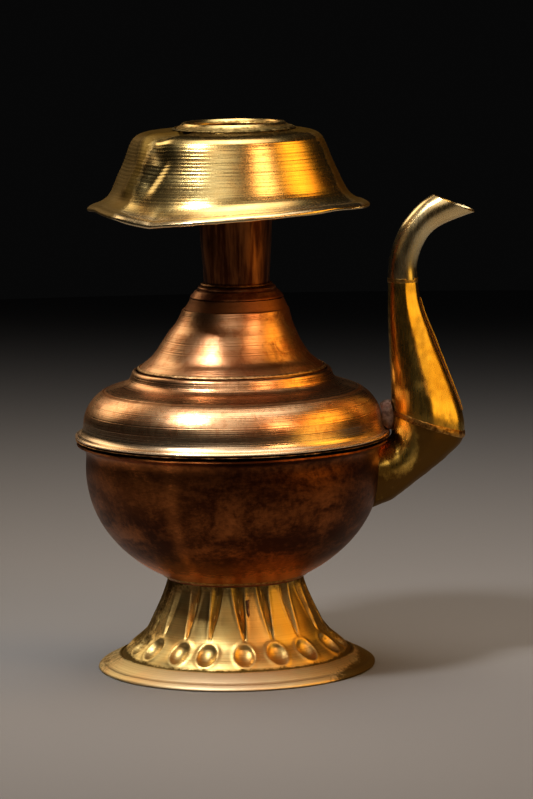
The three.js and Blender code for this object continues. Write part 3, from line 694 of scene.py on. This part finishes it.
neck_collar_ring = spin_ring([
    (NECK_COLLAR, COLLAR_FOOT + 0.1 * MM), (NECK_COLLAR - 0.2 * MM, COLLAR_FOOT + 0.6 * MM),
    (NECK_COLLAR - 1.3 * MM, COLLAR_FOOT + 1.8 * MM), (NECK_COLLAR - 2.5 * MM, COLLAR_FOOT + 3.1 * MM),
    (NECK_COLLAR - 3 * MM, COLLAR_FOOT + 3.5 * MM), (NECK_COLLAR - 3.8 * MM, COLLAR_FOOT + 3.8 * MM),
    (NECK_COLLAR - 3.7 * MM, COLLAR_FOOT + 4.6 * MM), (NECK_COLLAR - 4.2 * MM, COLLAR_FOOT + 5.1 * MM),
    (neck_radius(NECK_COLLAR_TOP) + 1 * MM, NECK_COLLAR_TOP), (neck_radius(NECK_COLLAR_TOP) + 0.5 * MM, NECK_COLLAR_TOP - 0.6 * MM),
    (neck_radius(COLLAR_FOOT) + 1 * MM, COLLAR_FOOT + 2.8 * MM), (NECK_COLLAR - 1.6 * MM, COLLAR_FOOT + 0.1 * MM),
], NECK_X, 144)
push(neck_collar_ring, lambda point: 0.05 * MM * wander(point, 6 * MM))
neck_collar = make_piece("neck_collar_ring", neck_collar_ring, ["neck_collar"])

FOOT_BEAD = (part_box("neck_foot_braze")[1].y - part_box("neck_foot_braze")[0].y) / 2
FOOT_BEAD_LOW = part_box("neck_foot_braze")[0].z
neck_bead = spin_ring([
    (FOOT_BEAD, FOOT_BEAD_LOW), (FOOT_BEAD - 0.5 * MM, FOOT_BEAD_LOW + 0.6 * MM),
    (FOOT_BEAD - 1.1 * MM, FOOT_BEAD_LOW + 0.9 * MM), (FOOT_BEAD - 1 * MM, FOOT_BEAD_LOW),
], NECK_X, 192)
push(neck_bead, lambda point: 0.1 * MM * wander(point, 2 * MM))
neck_foot = make_piece("neck_foot_bead", neck_bead, ["neck_foot_braze"])

neck_skin = spin_skin(curve_through([(NECK_FOOT, NECK_LOW), (NECK_MOUTH, NECK_TOP)], 1 * MM), NECK_X, 144)
push(neck_skin, lambda point: 0.2 * MM * wander(point, 15 * MM))
neck_tube = make_piece("neck_rolled", neck_skin, ["neck_tube"], SHEET)


def streaked_copper(name, piece):
    """Copper gone brown in streaks that run down, with rosier stripes between them."""
    metal = Metal(name, NECK_X)
    streak = metal.place.grain(3.2 * MM, 4, (1, 1, 12), 0.6)
    speck = metal.place.grain(1.6 * MM, 4, rough=0.7)
    drip = metal.place.grain(6 * MM, 3, (1, 1, 4))
    colour = streak.between(0.36, 0.66).tint((0.14, 0.042, 0.014), (0.52, 0.21, 0.07))
    colour = (drip.between(0.5, 0.7) * 0.6).tint(colour, (0.06, 0.02, 0.008))
    roughness = 0.24 + streak * 0.16 + speck * 0.14
    metal.wear(piece, colour, roughness, streak * 0.5 + speck * 0.5, 0.06 * MM)
    return metal


old_copper("neck_collar_copper", neck_collar, (0.20, 0.07, 0.028), (0.66, 0.36, 0.18), 0.22, centre_x=NECK_X)
run_braze("neck_foot_spelter", neck_foot, (0.2, 0.09, 0.035), (0.5, 0.28, 0.12), NECK_X)
streaked_copper("neck_copper_streaks", neck_tube)

# -------------------------------------------------------------------------------------------- hood
# The hood is a brass bowl spun on the lathe, turned over and brazed on round the mouth. Its rim is
# rolled over a crease. It has been dropped: the front left of the rim is bent down and the skirt
# above it is stove in beside a standing ridge.
HOOD_RADIUS = (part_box("hood")[1].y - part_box("hood")[0].y) / 2
CROWN_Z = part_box("hood")[1].z
HOOD_RISE = 36.8 * MM
RIM_Z = CROWN_Z - HOOD_RISE
CROWN_HOLE = NECK_MOUTH + 0.75 * MM


def hood_outline():
    rim = curve_through([
        (HOOD_RADIUS - 1.4 * MM, RIM_Z + 0.1 * MM), (HOOD_RADIUS - 0.5 * MM, RIM_Z),
        (HOOD_RADIUS, RIM_Z + 0.7 * MM), (HOOD_RADIUS - 0.3 * MM, RIM_Z + 1.5 * MM),
        (HOOD_RADIUS - 1.6 * MM, RIM_Z + 2.4 * MM), (HOOD_RADIUS - 3 * MM, RIM_Z + 2.8 * MM),
    ], 0.35 * MM)
    skirt = curve_through([
        (HOOD_RADIUS - 3.5 * MM, RIM_Z + 2.9 * MM), (HOOD_RADIUS - 6.6 * MM, RIM_Z + 4.4 * MM),
        (HOOD_RADIUS - 9.1 * MM, RIM_Z + 6.3 * MM), (HOOD_RADIUS - 10.9 * MM, RIM_Z + 8.8 * MM),
        (HOOD_RADIUS - 12.4 * MM, RIM_Z + 11.7 * MM), (HOOD_RADIUS - 14.1 * MM, RIM_Z + 15.5 * MM),
        (HOOD_RADIUS - 15.8 * MM, RIM_Z + 19.3 * MM), (HOOD_RADIUS - 17.4 * MM, RIM_Z + 23.1 * MM),
        (HOOD_RADIUS - 18.9 * MM, RIM_Z + 27 * MM), (HOOD_RADIUS - 20.3 * MM, RIM_Z + 30.4 * MM),
        (HOOD_RADIUS - 22 * MM, RIM_Z + 33.3 * MM), (HOOD_RADIUS - 24.6 * MM, RIM_Z + 35 * MM),
        (HOOD_RADIUS - 29 * MM, RIM_Z + 36 * MM), (HOOD_RADIUS - 34 * MM, RIM_Z + 36.4 * MM),
        (27 * MM, CROWN_Z), (CROWN_HOLE, CROWN_Z),
    ], 0.4 * MM)
    return rim + skirt


# How far the rim hangs below its true height, at places round it in degrees from the front.
RIM_BEND = [(-90, 0), (-70, -1.2), (-33, 3.9), (-10, 1.7), (18, 0), (48, -1.6), (90, 0)]
# The fold beaten into the skirt: the valley's bottom and the ridge beside it, each a line of
# (degrees from the front, share of the way up).
VALLEY = [(-53, 0.99), (-39, 0.66), (-44, 0.42)]
RIDGE = [(-61, 0.97), (-57, 0.62), (-60, 0.3)]


def bend_at(degrees):
    """The rim's bend at a place round it, straight between the places listed."""
    for (before, low), (after, high) in zip(RIM_BEND, RIM_BEND[1:]):
        if before <= degrees <= after:
            return MM * (low + (high - low) * (degrees - before) / (after - before))
    return 0


def away_from(path, angle, share, radius):
    """How far a point of the skirt is from a fold line, measured over the sheet."""
    here = Vector((angle * radius, share * HOOD_RISE))
    knots = [Vector((math.radians(degrees) * radius, up * HOOD_RISE)) for degrees, up in path]
    nearest = [geometry.intersect_point_line(here, start, end) for start, end in zip(knots, knots[1:])]
    feet = [
        start.lerp(end, min(1, max(0, part)))
        for (_, part), start, end in zip(nearest, knots, knots[1:])
    ]
    return min((here - foot_point).length for foot_point in feet)


def hood_dents(point):
    """The spinning ridges of the skirt, and the fold beaten into it at the front left."""
    angle, radius = around(point)
    share = (point.z - RIM_Z) / HOOD_RISE
    skirt = max(0, min(1, (share - 0.22) / 0.15)) * max(0, min(1, (0.97 - share) / 0.08))
    strength = 0.3 + 0.7 * max(0, min(1, (share - 0.35) / 0.2))
    phase = 2 * math.pi * point.z / (1.62 * MM) + 0.8 * wander(point, 25 * MM)
    depth = 0.04 * MM * skirt * strength * math.sin(phase)
    if angle < -0.3:
        depth += 1.8 * MM * math.exp(-(away_from(VALLEY, angle, share, radius) / (4.8 * MM)) ** 2)
        depth -= 1.3 * MM * math.exp(-(away_from(RIDGE, angle, share, radius) / (3 * MM)) ** 2)
        depth += 0.5 * MM * wander(point, 9 * MM, 2) * max(0, min(1, -angle - 0.8, angle + 2.8)) * skirt
    edge = 0.25 * MM * wander(point, 9 * MM, 4) * (1 - min(1, share / 0.1))
    return depth + edge + 0.18 * MM * wander(point, 22 * MM)


def bend_rim(skin):
    for vertex in skin.verts:
        angle = around(vertex.co)[0]
        share = min(1, max(0, (vertex.co.z - RIM_Z) / (0.45 * HOOD_RISE)))
        vertex.co.z -= bend_at(math.degrees(angle)) * (1 - share * share * (3 - 2 * share))


hood_skin = spin_skin(hood_outline(), POT_X, 256)
lean(hood_skin, 27 * MM, 43 * MM)
bend_rim(hood_skin)
push(hood_skin, hood_dents)
hood = make_piece("hood_spun", hood_skin, ["hood"], SHEET)


def hood_tarnish_and_shade(metal):
    """Speckled tarnish, deepened as painted shade at the far left and right of the skirt; a painted dark reflection on
    the crown's band; and dark along the rim's crease.
    """
    # Painted shade at the far left and right, over the speckled tarnish.
    left = (-1 * metal.turn).between(0.75, 1.05) * (-1 * metal.turn).between(3, 2)
    sides = metal.start.math("ABSOLUTE", metal.turn).between(1, 1.4)
    # Painted dark reflection on the crown's band.
    crown = metal.z.between(CROWN_Z - 1.6 * MM, CROWN_Z - 0.9 * MM)
    return left * 0.9 + sides * 0.8 + crown * 0.45 + metal.radius.near(HOOD_RADIUS - 3.6 * MM, 1.2 * MM) * 0.6


def hood_wear_and_light(metal):
    """The crown's band inside its fillet is painted olive as a painted dark reflection, and the skirt's foot and the
    rim's roll are painted pale as a painted highlight.
    """
    # Painted dark reflection: the crown's band.
    aged_and_shaded = metal.z.between(CROWN_Z - 1.7 * MM, CROWN_Z - 0.9 * MM) * 0.9
    # Painted highlight: the skirt's foot and the rim's roll.
    return aged_and_shaded, metal.radius.between(HOOD_RADIUS - 7 * MM, HOOD_RADIUS - 4 * MM) * 0.45


sheet_brass("hood_brass", hood, hood_tarnish_and_shade, wear_and_light_at=hood_wear_and_light)

# ------------------------------------------------------------------------------------------- mouth
# A heavier turned ring lies round the mouth and is brazed to the crown, outside and beneath. Water
# is poured in through it, so its top edge is rubbed bright and its wall inside is dark.
MOUTH_RADIUS = (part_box("mouth_ring")[1].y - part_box("mouth_ring")[0].y) / 2
MOUTH_FOOT, MOUTH_TOP = (corner.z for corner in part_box("mouth_ring"))
MOUTH_BORE = NECK_MOUTH + 0.85 * MM
mouth_body = spin_ring([
    (MOUTH_RADIUS - 0.1 * MM, MOUTH_FOOT), (MOUTH_RADIUS - 0.3 * MM, MOUTH_FOOT + 0.5 * MM),
    (MOUTH_RADIUS - 1.9 * MM, MOUTH_FOOT + 1.4 * MM), (MOUTH_RADIUS - 2.9 * MM, MOUTH_TOP - 0.5 * MM),
    (MOUTH_RADIUS - 3.5 * MM, MOUTH_TOP), (MOUTH_RADIUS - 4.6 * MM, MOUTH_TOP),
    (MOUTH_RADIUS - 5.1 * MM, MOUTH_TOP - 0.4 * MM), (MOUTH_BORE, MOUTH_FOOT + 1 * MM),
    (MOUTH_BORE, MOUTH_FOOT + 0.1 * MM),
], NECK_X, 192)
push(mouth_body, lambda point: 0.1 * MM * wander(point, 5 * MM))
mouth_ring = make_piece("mouth_ring_turned", mouth_body, ["mouth_ring"])
sheet_brass(
    "mouth_brass", mouth_ring, lambda metal: 0.55 - metal.z.between(MOUTH_TOP - MM, MOUTH_TOP), centre_x=NECK_X,
)

MOUTH_BEAD = (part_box("mouth_braze")[1].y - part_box("mouth_braze")[0].y) / 2
MOUTH_BEAD_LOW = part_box("mouth_braze")[0].z
mouth_bead = spin_ring([
    (MOUTH_BEAD, MOUTH_BEAD_LOW), (MOUTH_BEAD - 0.6 * MM, MOUTH_BEAD_LOW + 0.4 * MM),
    (MOUTH_BEAD - 1.3 * MM, MOUTH_BEAD_LOW + 0.7 * MM), (MOUTH_BEAD - 1.3 * MM, MOUTH_BEAD_LOW),
], NECK_X, 256)
push(mouth_bead, lambda point: 0.15 * MM * wander(point, 2.2 * MM))
mouth_braze = make_piece("mouth_bead", mouth_bead, ["mouth_braze"])
run_braze("mouth_spelter", mouth_braze, (0.1, 0.08, 0.03), (0.4, 0.3, 0.13), NECK_X)

UNDER_BEAD = (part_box("hood_neck_braze")[1].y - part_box("hood_neck_braze")[0].y) / 2
UNDER_LOW, UNDER_TOP = (corner.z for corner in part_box("hood_neck_braze"))
under_bead = spin_ring([
    (UNDER_BEAD - 2.5 * MM, UNDER_LOW + 0.1 * MM), (UNDER_BEAD - 1.2 * MM, UNDER_TOP - 0.9 * MM),
    (UNDER_BEAD, UNDER_TOP), (UNDER_BEAD - 2.5 * MM, UNDER_TOP),
], NECK_X, 144)
push(under_bead, lambda point: 0.14 * MM * wander(point, 2.5 * MM))
hood_braze = make_piece("hood_neck_bead", under_bead, ["hood_neck_braze"])
run_braze("hood_neck_spelter", hood_braze, (0.2, 0.12, 0.05), (0.6, 0.42, 0.2), NECK_X)

FOOT_SEAM_LOW, FOOT_SEAM_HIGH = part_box("foot_seam_braze")
SEAM_TURN = math.radians(9.5)
seam_line = bmesh.new()
bmesh.ops.create_cone(seam_line, segments=12, radius1=0.8 * MM, radius2=0.8 * MM, depth=1, cap_ends=True)
steps = [edge for edge in seam_line.edges if abs(edge.verts[0].co.z - edge.verts[1].co.z) > 0.5]
bmesh.ops.subdivide_edges(seam_line, edges=steps, cuts=40, use_grid_fill=True)
for vertex in seam_line.verts:
    share = vertex.co.z + 0.5
    height = FOOT_SEAM_LOW.z + 0.8 * MM + share * (FOOT_SEAM_HIGH.z - FOOT_SEAM_LOW.z - 1.6 * MM)
    reach = FOOT_CREASE - 13.1 * MM - 6.7 * MM * share - 4.7 * MM * share * (1 - share) + vertex.co.x
    across = vertex.co.y
    vertex.co.x = POT_X + reach * math.sin(SEAM_TURN) + across * math.cos(SEAM_TURN)
    vertex.co.y = -reach * math.cos(SEAM_TURN) + across * math.sin(SEAM_TURN)
    vertex.co.z = height
bmesh.ops.recalc_face_normals(seam_line, faces=seam_line.faces)
push(seam_line, lambda point: 0.12 * MM * wander(point, 2 * MM))
foot_seam = make_piece("foot_seam_bead", seam_line, ["foot_seam_braze"])
run_braze("foot_seam_spelter", foot_seam, (0.3, 0.15, 0.08), (0.7, 0.42, 0.25))

# ------------------------------------------------------------------------------------------- spout
# The spout is three pieces of brass sheet. The elbow is beaten to a pear shape and lies against the
# bowl; the cone is rolled and seamed along its outer side; the tip is a bent tube, cut off at a
# slant. Each station below is a section of it: where its inner and outer edges lie, and half its
# depth, in millimetres from the root beside the flange.
ROOT = Vector((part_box("spout_waist_braze")[0].x + 0.8 * MM, 0, FLANGE_Z))
ELBOW_STATIONS = [
    (-14, -3.8, -14, -36.8, 15), (-5, -3.2, -2.5, -33, 15), (-1.6, -2.6, 4.5, -28.6, 15),
    (-0.2, -1.4, 13.4, -21.6, 15), (0, 1, 24, -13.2, 15.2), (0, 4, 31.6, -6.6, 15.4), (0, 9.3, 33.8, -2.2, 15.4),
]
CONE_STATIONS = [
    (0, 9.8, 33.8, -1.6, 15.2), (0, 14.4, 33.6, 4.6, 15), (-0.1, 21, 31.7, 12.4, 14.2),
    (-0.3, 29, 28.1, 22, 12.4), (-0.7, 38, 23.7, 33.4, 10.6), (-1, 47, 19.3, 45, 8.8), (-1.1, 56, 15.3, 55.4, 7.6),
    (-1, 64, 13.4, 63.8, 7.1), (-0.9, 70.6, 12.8, 70.6, 6.9),
]
TIP_STATIONS = [
    (-0.9, 71.1, 12.8, 71.1, 6.9), (-0.4, 78, 12.6, 77, 6.9), (0.7, 84, 13.5, 81.8, 6.9), (3, 91, 15.6, 87, 7),
    (6.3, 97, 19, 92, 7), (10.6, 102.5, 23.9, 95.8, 7.1), (15.5, 107.2, 31, 98.8, 7.3), (20.4, 110.2, 39.6, 101.8, 7.5),
]
WAIST_STATIONS = [(0, 8.2, 33.4, -3.4, 15.4), (0, 9.5, 33.8, -1.9, 15.3), (0, 11, 33.8, 0, 15.2)]
TIP_BAND_STATIONS = [(-1, 69.8, 12.9, 69.8, 6.9), (-0.9, 71.9, 12.8, 71.9, 6.9)]


def station_at(stations, along):
    """The section of the spout a share of the way along its stations, on a smooth run."""
    place = min(max(along, 0), 1) * (len(stations) - 1)
    first = min(int(place), len(stations) - 2)
    t = place - first
    picks = [stations[min(max(first + step, 0), len(stations) - 1)] for step in (-1, 0, 1, 2)]
    weights = (
        -0.5 * t + t * t - 0.5 * t ** 3, 1 - 2.5 * t * t + 1.5 * t ** 3,
        0.5 * t + 2 * t * t - 1.5 * t ** 3, -0.5 * t * t + 0.5 * t ** 3,
    )
    return [sum(weight * pick[part] for weight, pick in zip(weights, picks)) * MM for part in range(5)]


def spout_point(stations, along, turn, grow=0, flat=0):
    """A point on the spout: turn goes round its section from the inner edge by way of the front."""
    inner_x, inner_z, outer_x, outer_z, depth = station_at(stations, along)
    inner = ROOT + Vector((inner_x, 0, inner_z))
    outer = ROOT + Vector((outer_x, 0, outer_z))
    half = (outer - inner) / 2
    facet = 1
    if flat:
        off = abs((turn - math.radians(122) + math.pi) % (2 * math.pi) - math.pi)
        if off < math.radians(60):
            facet = -math.log(math.exp(-40) + math.exp(-40 * (1 - flat) / math.cos(off))) / 40
    across = -math.cos(turn) * (1 + grow / half.length) * facet
    aside = -math.sin(turn) * (depth + grow) * facet
    return inner + half + half * across + Vector((0, aside, 0))


def bowl_skin_radius(height):
    """The bowl's outside radius at a height, with its flared lip."""
    level = min(1, abs(height - EQUATOR) / BOWL_DEPTH)
    flare = max(0, (height - LIP_Z + 4.5 * MM) / (4 * MM))
    return BOWL_RADIUS * math.sqrt(1 - level * level) + (LIP_RADIUS - BOWL_RADIUS + 2 * MM) * min(1, flare) ** 1.3


def meet_bowl(stations, turn, grow, clear):
    """How far along its stations the spout comes out of the bowl, with a clearance round the bowl."""
    low, high = 0, 0.8
    for _ in range(24):
        middle = (low + high) / 2
        point = spout_point(stations, middle, turn, grow)
        within = math.hypot(point.x - POT_X, point.y) < bowl_skin_radius(point.z) + clear
        low, high = (middle, high) if within else (low, middle)
    return high


def sleeve(rows, columns, place_at):
    """A tube made from a sheet that is rolled up: each point goes where a rule puts its share along
    the tube and its turn round it."""
    tube = bmesh.new()
    bmesh.ops.create_grid(tube, x_segments=rows, y_segments=columns, size=0.5)
    for vertex in tube.verts:
        vertex.co = place_at(vertex.co.x + 0.5, (vertex.co.y + 0.5) * 2 * math.pi)
    bmesh.ops.remove_doubles(tube, verts=tube.verts, dist=1e-6)
    bmesh.ops.recalc_face_normals(tube, faces=tube.faces)
    tube.normal_update()
    return tube


SPOUT_WALL = 1.1 * MM
starts = {}


def elbow_place(share, turn):
    key = round(turn, 5)
    if key not in starts:
        starts[key] = meet_bowl(ELBOW_STATIONS, turn, 0, 0.35 * MM)
    return spout_point(ELBOW_STATIONS, starts[key] + (1 - starts[key]) * share, turn, flat=0.05)


def hammered(point):
    """Planishing marks: shallow flats, a few millimetres across, that meet in soft ridges."""
    cells = noise.voronoi(point / (5.5 * MM))[0]
    return (0.35 * (cells[0] - 0.5) + 0.3 * wander(point, 12 * MM)) * MM


elbow_tube = sleeve(64, 144, elbow_place)
push(elbow_tube, hammered)
spout_elbow = make_piece("spout_elbow_beaten", elbow_tube, ["spout_elbow"], SPOUT_WALL)


def drawn(point):
    """The rolled cone's long shallow folds, and the marks of the mallet that closed them."""
    stretched = Vector((point.x, point.y, point.z * 0.12))
    return (0.22 * wander(stretched, 6 * MM, 2) + 0.08 * wander(point, 4 * MM)) * MM


cone_tube = sleeve(120, 128, lambda share, turn: spout_point(CONE_STATIONS, share, turn, flat=0.1))
push(cone_tube, drawn)
spout_cone = make_piece("spout_cone_rolled", cone_tube, ["spout_cone"], SPOUT_WALL)

tip_tube = sleeve(96, 96, lambda share, turn: spout_point(TIP_STATIONS, share, turn))
push(tip_tube, lambda point: 0.12 * MM * wander(point, 7 * MM, 6))
spout_tip = make_piece("spout_tip_bent", tip_tube, ["spout_tip"], SPOUT_WALL)

SADDLE_WIDTH = 3.4 * MM


def saddle_place(share, turn):
    grow = 0.5 * MM + share * SADDLE_WIDTH
    along = meet_bowl(ELBOW_STATIONS, turn, grow, 0.75 * MM)
    return spout_point(ELBOW_STATIONS, along, turn, grow)


saddle_strip = sleeve(8, 144, saddle_place)
above = [face for face in saddle_strip.faces if face.calc_center_median().z > LIP_Z - 7 * MM]
bmesh.ops.delete(saddle_strip, geom=above, context="FACES")
push(saddle_strip, lambda point: 0.12 * MM * wander(point, 4 * MM))
spout_saddle = make_piece("spout_saddle_strip", saddle_strip, ["spout_saddle"], 0.4 * MM)


def spout_polish(name, piece, dull_and_shade_at, bright=(0.86, 0.60, 0.17), deep=(0.80, 0.52, 0.12)):
    """Spout brass: yellower than the sheet, scraped lengthwise, with pits and half-cleaned tarnish; on the elbow the
    dull mask is painted shade.
    """
    metal = Metal(name)
    scrape = metal.place.grain(1.1 * MM, 3, (1, 1, 10))
    pit = metal.place.grain(2.2 * MM, 4, (1, 1, 1.8), 0.7)
    cloud = metal.place.grain(14 * MM, 4, (1, 1, 2))
    # On the elbow this dull mask is painted shade.
    dull = (dull_and_shade_at(metal) + pit * 0.9 + cloud * 0.5 - 0.9).between(0, 0.6)
    colour = cloud.between(0.35, 0.65).tint(bright, deep)
    colour = (dull * 0.9).tint(colour, (0.10, 0.045, 0.008))
    colour = pit.between(0.74, 0.8).tint(colour, (0.04, 0.02, 0.01))
    roughness = 0.2 + dull * 0.25 + scrape * 0.14
    metal.wear(piece, colour, roughness, scrape * 0.4 + pit * 0.3, 0.045 * MM)
    return metal


def waist_soot(metal):
    """The torch left its mark on both sides of a joint."""
    return metal.z.near(FLANGE_Z + 5 * MM, 12 * MM) * 0.4




def elbow_painted_shade(metal):
    """Painted shade: the elbow is darkened low down and toward its outer side, so that only the patch beside the flange
    stays bright.
    """
    # Painted shade toward the elbow's outer side.
    outward = metal.x.between(ROOT.x - POT_X + 5 * MM, ROOT.x - POT_X + 14 * MM)
    # Painted shade low down on the elbow.
    return outward * 0.9 + metal.z.between(FLANGE_Z - 10 * MM, FLANGE_Z - 24 * MM) * 0.9


spout_polish("elbow_brass", spout_elbow, elbow_painted_shade)
spout_polish("cone_brass", spout_cone, waist_soot)


def tip_soot(metal):
    """A little of the torch's skin is left above the joint."""
    return metal.z.near(FLANGE_Z + 74 * MM, 8 * MM) * 0.2


spout_polish("tip_brass", spout_tip, tip_soot, (0.95, 0.80, 0.48), (0.92, 0.72, 0.38))
spout_polish("saddle_brass", spout_saddle, lambda metal: metal.z.between(FLANGE_Z, FLANGE_Z - 30 * MM) * 0.6)

# Where the spout's pieces meet they are butted and brazed: a wandering bright bead round the waist
# and a low one at the foot of the tip.


def band(stations, bulge, ripple):
    """A closed band of braze round a joint: its section is a low dome, and its edges wander."""
    def place(share, turn):
        sweep = share * 2 * math.pi
        wave = ripple * math.sin(9 * turn + 2 * math.sin(4 * turn))
        along = 0.5 + 0.46 * math.cos(sweep) + wave
        grow = 0.06 * MM + bulge * max(0, math.sin(sweep))
        return spout_point(stations, along, turn, grow, 0.05)
    return sleeve(20, 192, place)


waist_bead = band(WAIST_STATIONS, 0.3 * MM, 0.04)
push(waist_bead, lambda point: 0.2 * MM * wander(point, 1.8 * MM))
spout_waist = make_piece("spout_waist_bead", waist_bead, ["spout_waist_braze"])
tip_bead = band(TIP_BAND_STATIONS, 0.14 * MM, 0.04)
push(tip_bead, lambda point: 0.12 * MM * wander(point, 1.8 * MM))
spout_joint = make_piece("spout_tip_bead", tip_bead, ["spout_tip_braze"])
run_braze("waist_braze", spout_waist, (0.2, 0.09, 0.02), (0.62, 0.38, 0.12))
run_braze("tip_braze", spout_joint, (0.4, 0.24, 0.07), (0.72, 0.5, 0.18))


def fin_place(share, turn):
    """The folded seam: a low bead along the outer side of the cone."""
    along = 0.2 + 0.66 * share
    edge = spout_point(CONE_STATIONS, along, math.pi, 0.35 * MM)
    out = (edge - spout_point(CONE_STATIONS, along, 0)).normalized()
    swell = math.sin(math.pi * min(1, max(0, share))) ** 0.3
    lift = 0.5 * MM * swell
    return edge + out * lift * (1 + math.cos(turn)) + Vector((0, 0.45 * MM * swell * math.sin(turn), 0))


fin_line = sleeve(120, 12, fin_place)
push(fin_line, lambda point: 0.12 * MM * wander(point, 3 * MM))
spout_fin = make_piece("spout_seam_line", fin_line, ["spout_seam_fin"])
spout_polish("fin_brass", spout_fin, waist_soot)


def shoulder_skin_radius(height):
    """The shoulder's outside radius just above the flange, where the solder lies against it."""
    up = (height - FLANGE_Z) / MM
    return FLANGE_RADIUS - min(3.9, 0.9 + max(0, up - 1.2) * 1.1) * MM - max(0, up - 9) * 0.28 * MM


def fill_corner(point):
    """Keeps a point of the solder clear of the shoulder on one side and of the spout on the other."""
    shoulder_x = math.sqrt(max(0, shoulder_skin_radius(point.z) ** 2 - point.y ** 2)) + 0.4 * MM + POT_X
    belly = math.sqrt(max(0, 1 - (point.y / (15.2 * MM)) ** 2))
    spout_x = ROOT.x + 16.9 * MM * (1 - belly) - 0.4 * MM
    return Vector((min(max(point.x, shoulder_x), max(spout_x, shoulder_x)), point.y, point.z))


solder_low, solder_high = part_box("spout_solder")
solder_run = bmesh.new()
bmesh.ops.create_icosphere(solder_run, subdivisions=5, radius=1)
for vertex in solder_run.verts:
    point = vertex.co
    spread = Vector((point.x * 6.4 * MM, point.y * 6.2 * MM, point.z * 7.4 * MM))
    spread += Vector((ROOT.x - 2 * MM, 0, FLANGE_Z + 7.2 * MM))
    spread *= 1 + 0.006 * wander(spread, 3 * MM)
    spread.z = max(spread.z, solder_low.z)
    vertex.co = fill_corner(spread)
bmesh.ops.remove_doubles(solder_run, verts=solder_run.verts, dist=1e-6)
bmesh.ops.recalc_face_normals(solder_run, faces=solder_run.faces)
spout_solder = make_piece("spout_solder_run", solder_run, ["spout_solder"])
soft_solder("solder_grey", spout_solder)

# ------------------------------------------------------------------------------------------ studio
# A pale table under the pot and soft light on it: a large lamp high on the left, a dimmer sheet of
# light in front, and a warm one on the right that gilds the brass.
floor_mesh = bmesh.new()
bmesh.ops.create_circle(floor_mesh, cap_ends=True, segments=128, radius=1.6)
floor_data = bpy.data.meshes.new("table_top")
floor_mesh.to_mesh(floor_data)
floor_mesh.free()
floor = bpy.data.objects.new("table_top", floor_data)
floor.location.z = cad_low.z - 0.02 * MM
bpy.context.scene.collection.objects.link(floor)
cloth = bpy.data.materials.new("table_paint")
cloth.use_nodes = True
cloth.node_tree.nodes["Principled BSDF"].inputs["Base Color"].default_value = (0.27, 0.283, 0.306, 1)
cloth.node_tree.nodes["Principled BSDF"].inputs["Roughness"].default_value = 0.7
floor_data.materials.append(cloth)

world = bpy.data.worlds.new("room")
world.use_nodes = True
world.node_tree.nodes["Background"].inputs["Color"].default_value = (0.004, 0.004, 0.004, 1)
bpy.context.scene.world = world

POT_MIDDLE = Vector((POT_X, 0, (cad_low.z + cad_high.z) / 2))


def soft_lamp(name, side, height, distance, size, power, colour, spread=180):
    """A lamp aimed at the pot: side is degrees from the front toward the spout, height above level."""
    lamp = bpy.data.lights.new(name, "AREA")
    lamp.shape = "RECTANGLE"
    lamp.size, lamp.size_y = size
    lamp.energy = power
    lamp.color = colour
    lamp.spread = math.radians(spread)
    turn, tilt = math.radians(side), math.radians(height)
    away = Vector((math.sin(turn) * math.cos(tilt), -math.cos(turn) * math.cos(tilt), math.sin(tilt)))
    stand = bpy.data.objects.new(name, lamp)
    stand.location = POT_MIDDLE + away * distance
    stand.rotation_mode = "QUATERNION"
    stand.rotation_quaternion = away.to_track_quat("Z", "Y")
    bpy.context.scene.collection.objects.link(stand)


soft_lamp("key_lamp", -48, 57, 1.3, (0.2, 0.2), 0.58, (1, 0.93, 0.86), 50)
soft_lamp("front_sheet", -9, 38, 1.5, (1.2, 0.6), 0.2, (1, 0.88, 0.76), 50)
soft_lamp("top_sheet", -15, 94, 1.2, (1.8, 1.6), 3.5, (1, 0.88, 0.76), 60)
soft_lamp("left_sheet", -134, 33, 1.3, (0.8, 0.8), 0.3, (1, 0.8, 0.56), 50)
soft_lamp("warm_sheet", 42, 38, 1.3, (0.35, 0.45), 0.2, (1, 0.58, 0.3), 50)
soft_lamp("far_warm_sheet", 88, 34, 1.3, (1.2, 0.5), 0.42, (1, 0.48, 0.06), 50)
soft_lamp("gold_card", 66, 8, 0.9, (0.5, 0.34), 0.095, (1, 0.62, 0.13), 60)
bpy.context.scene.view_settings.view_transform = "Standard"
bpy.context.scene.view_settings.look = "Medium High Contrast"

# The camera stands level with the hood's height again as high, and looks a little down at the pot.
camera_data = bpy.data.cameras.new("camera")
camera_data.lens = 179.8
camera_data.sensor_width = 36
camera = bpy.data.objects.new("camera", camera_data)
camera.location = (POT_X + 0.01595, -1.8415, 0.3765)
aim = Vector((POT_X + 0.01595, 0, 0.125)) - camera.location
camera.rotation_mode = "QUATERNION"
camera.rotation_quaternion = aim.to_track_quat("-Z", "Y")
camera.rotation_quaternion @= Matrix.Rotation(math.radians(-0.981), 4, "Z").to_quaternion()
bpy.context.scene.collection.objects.link(camera)
bpy.context.scene.camera = camera
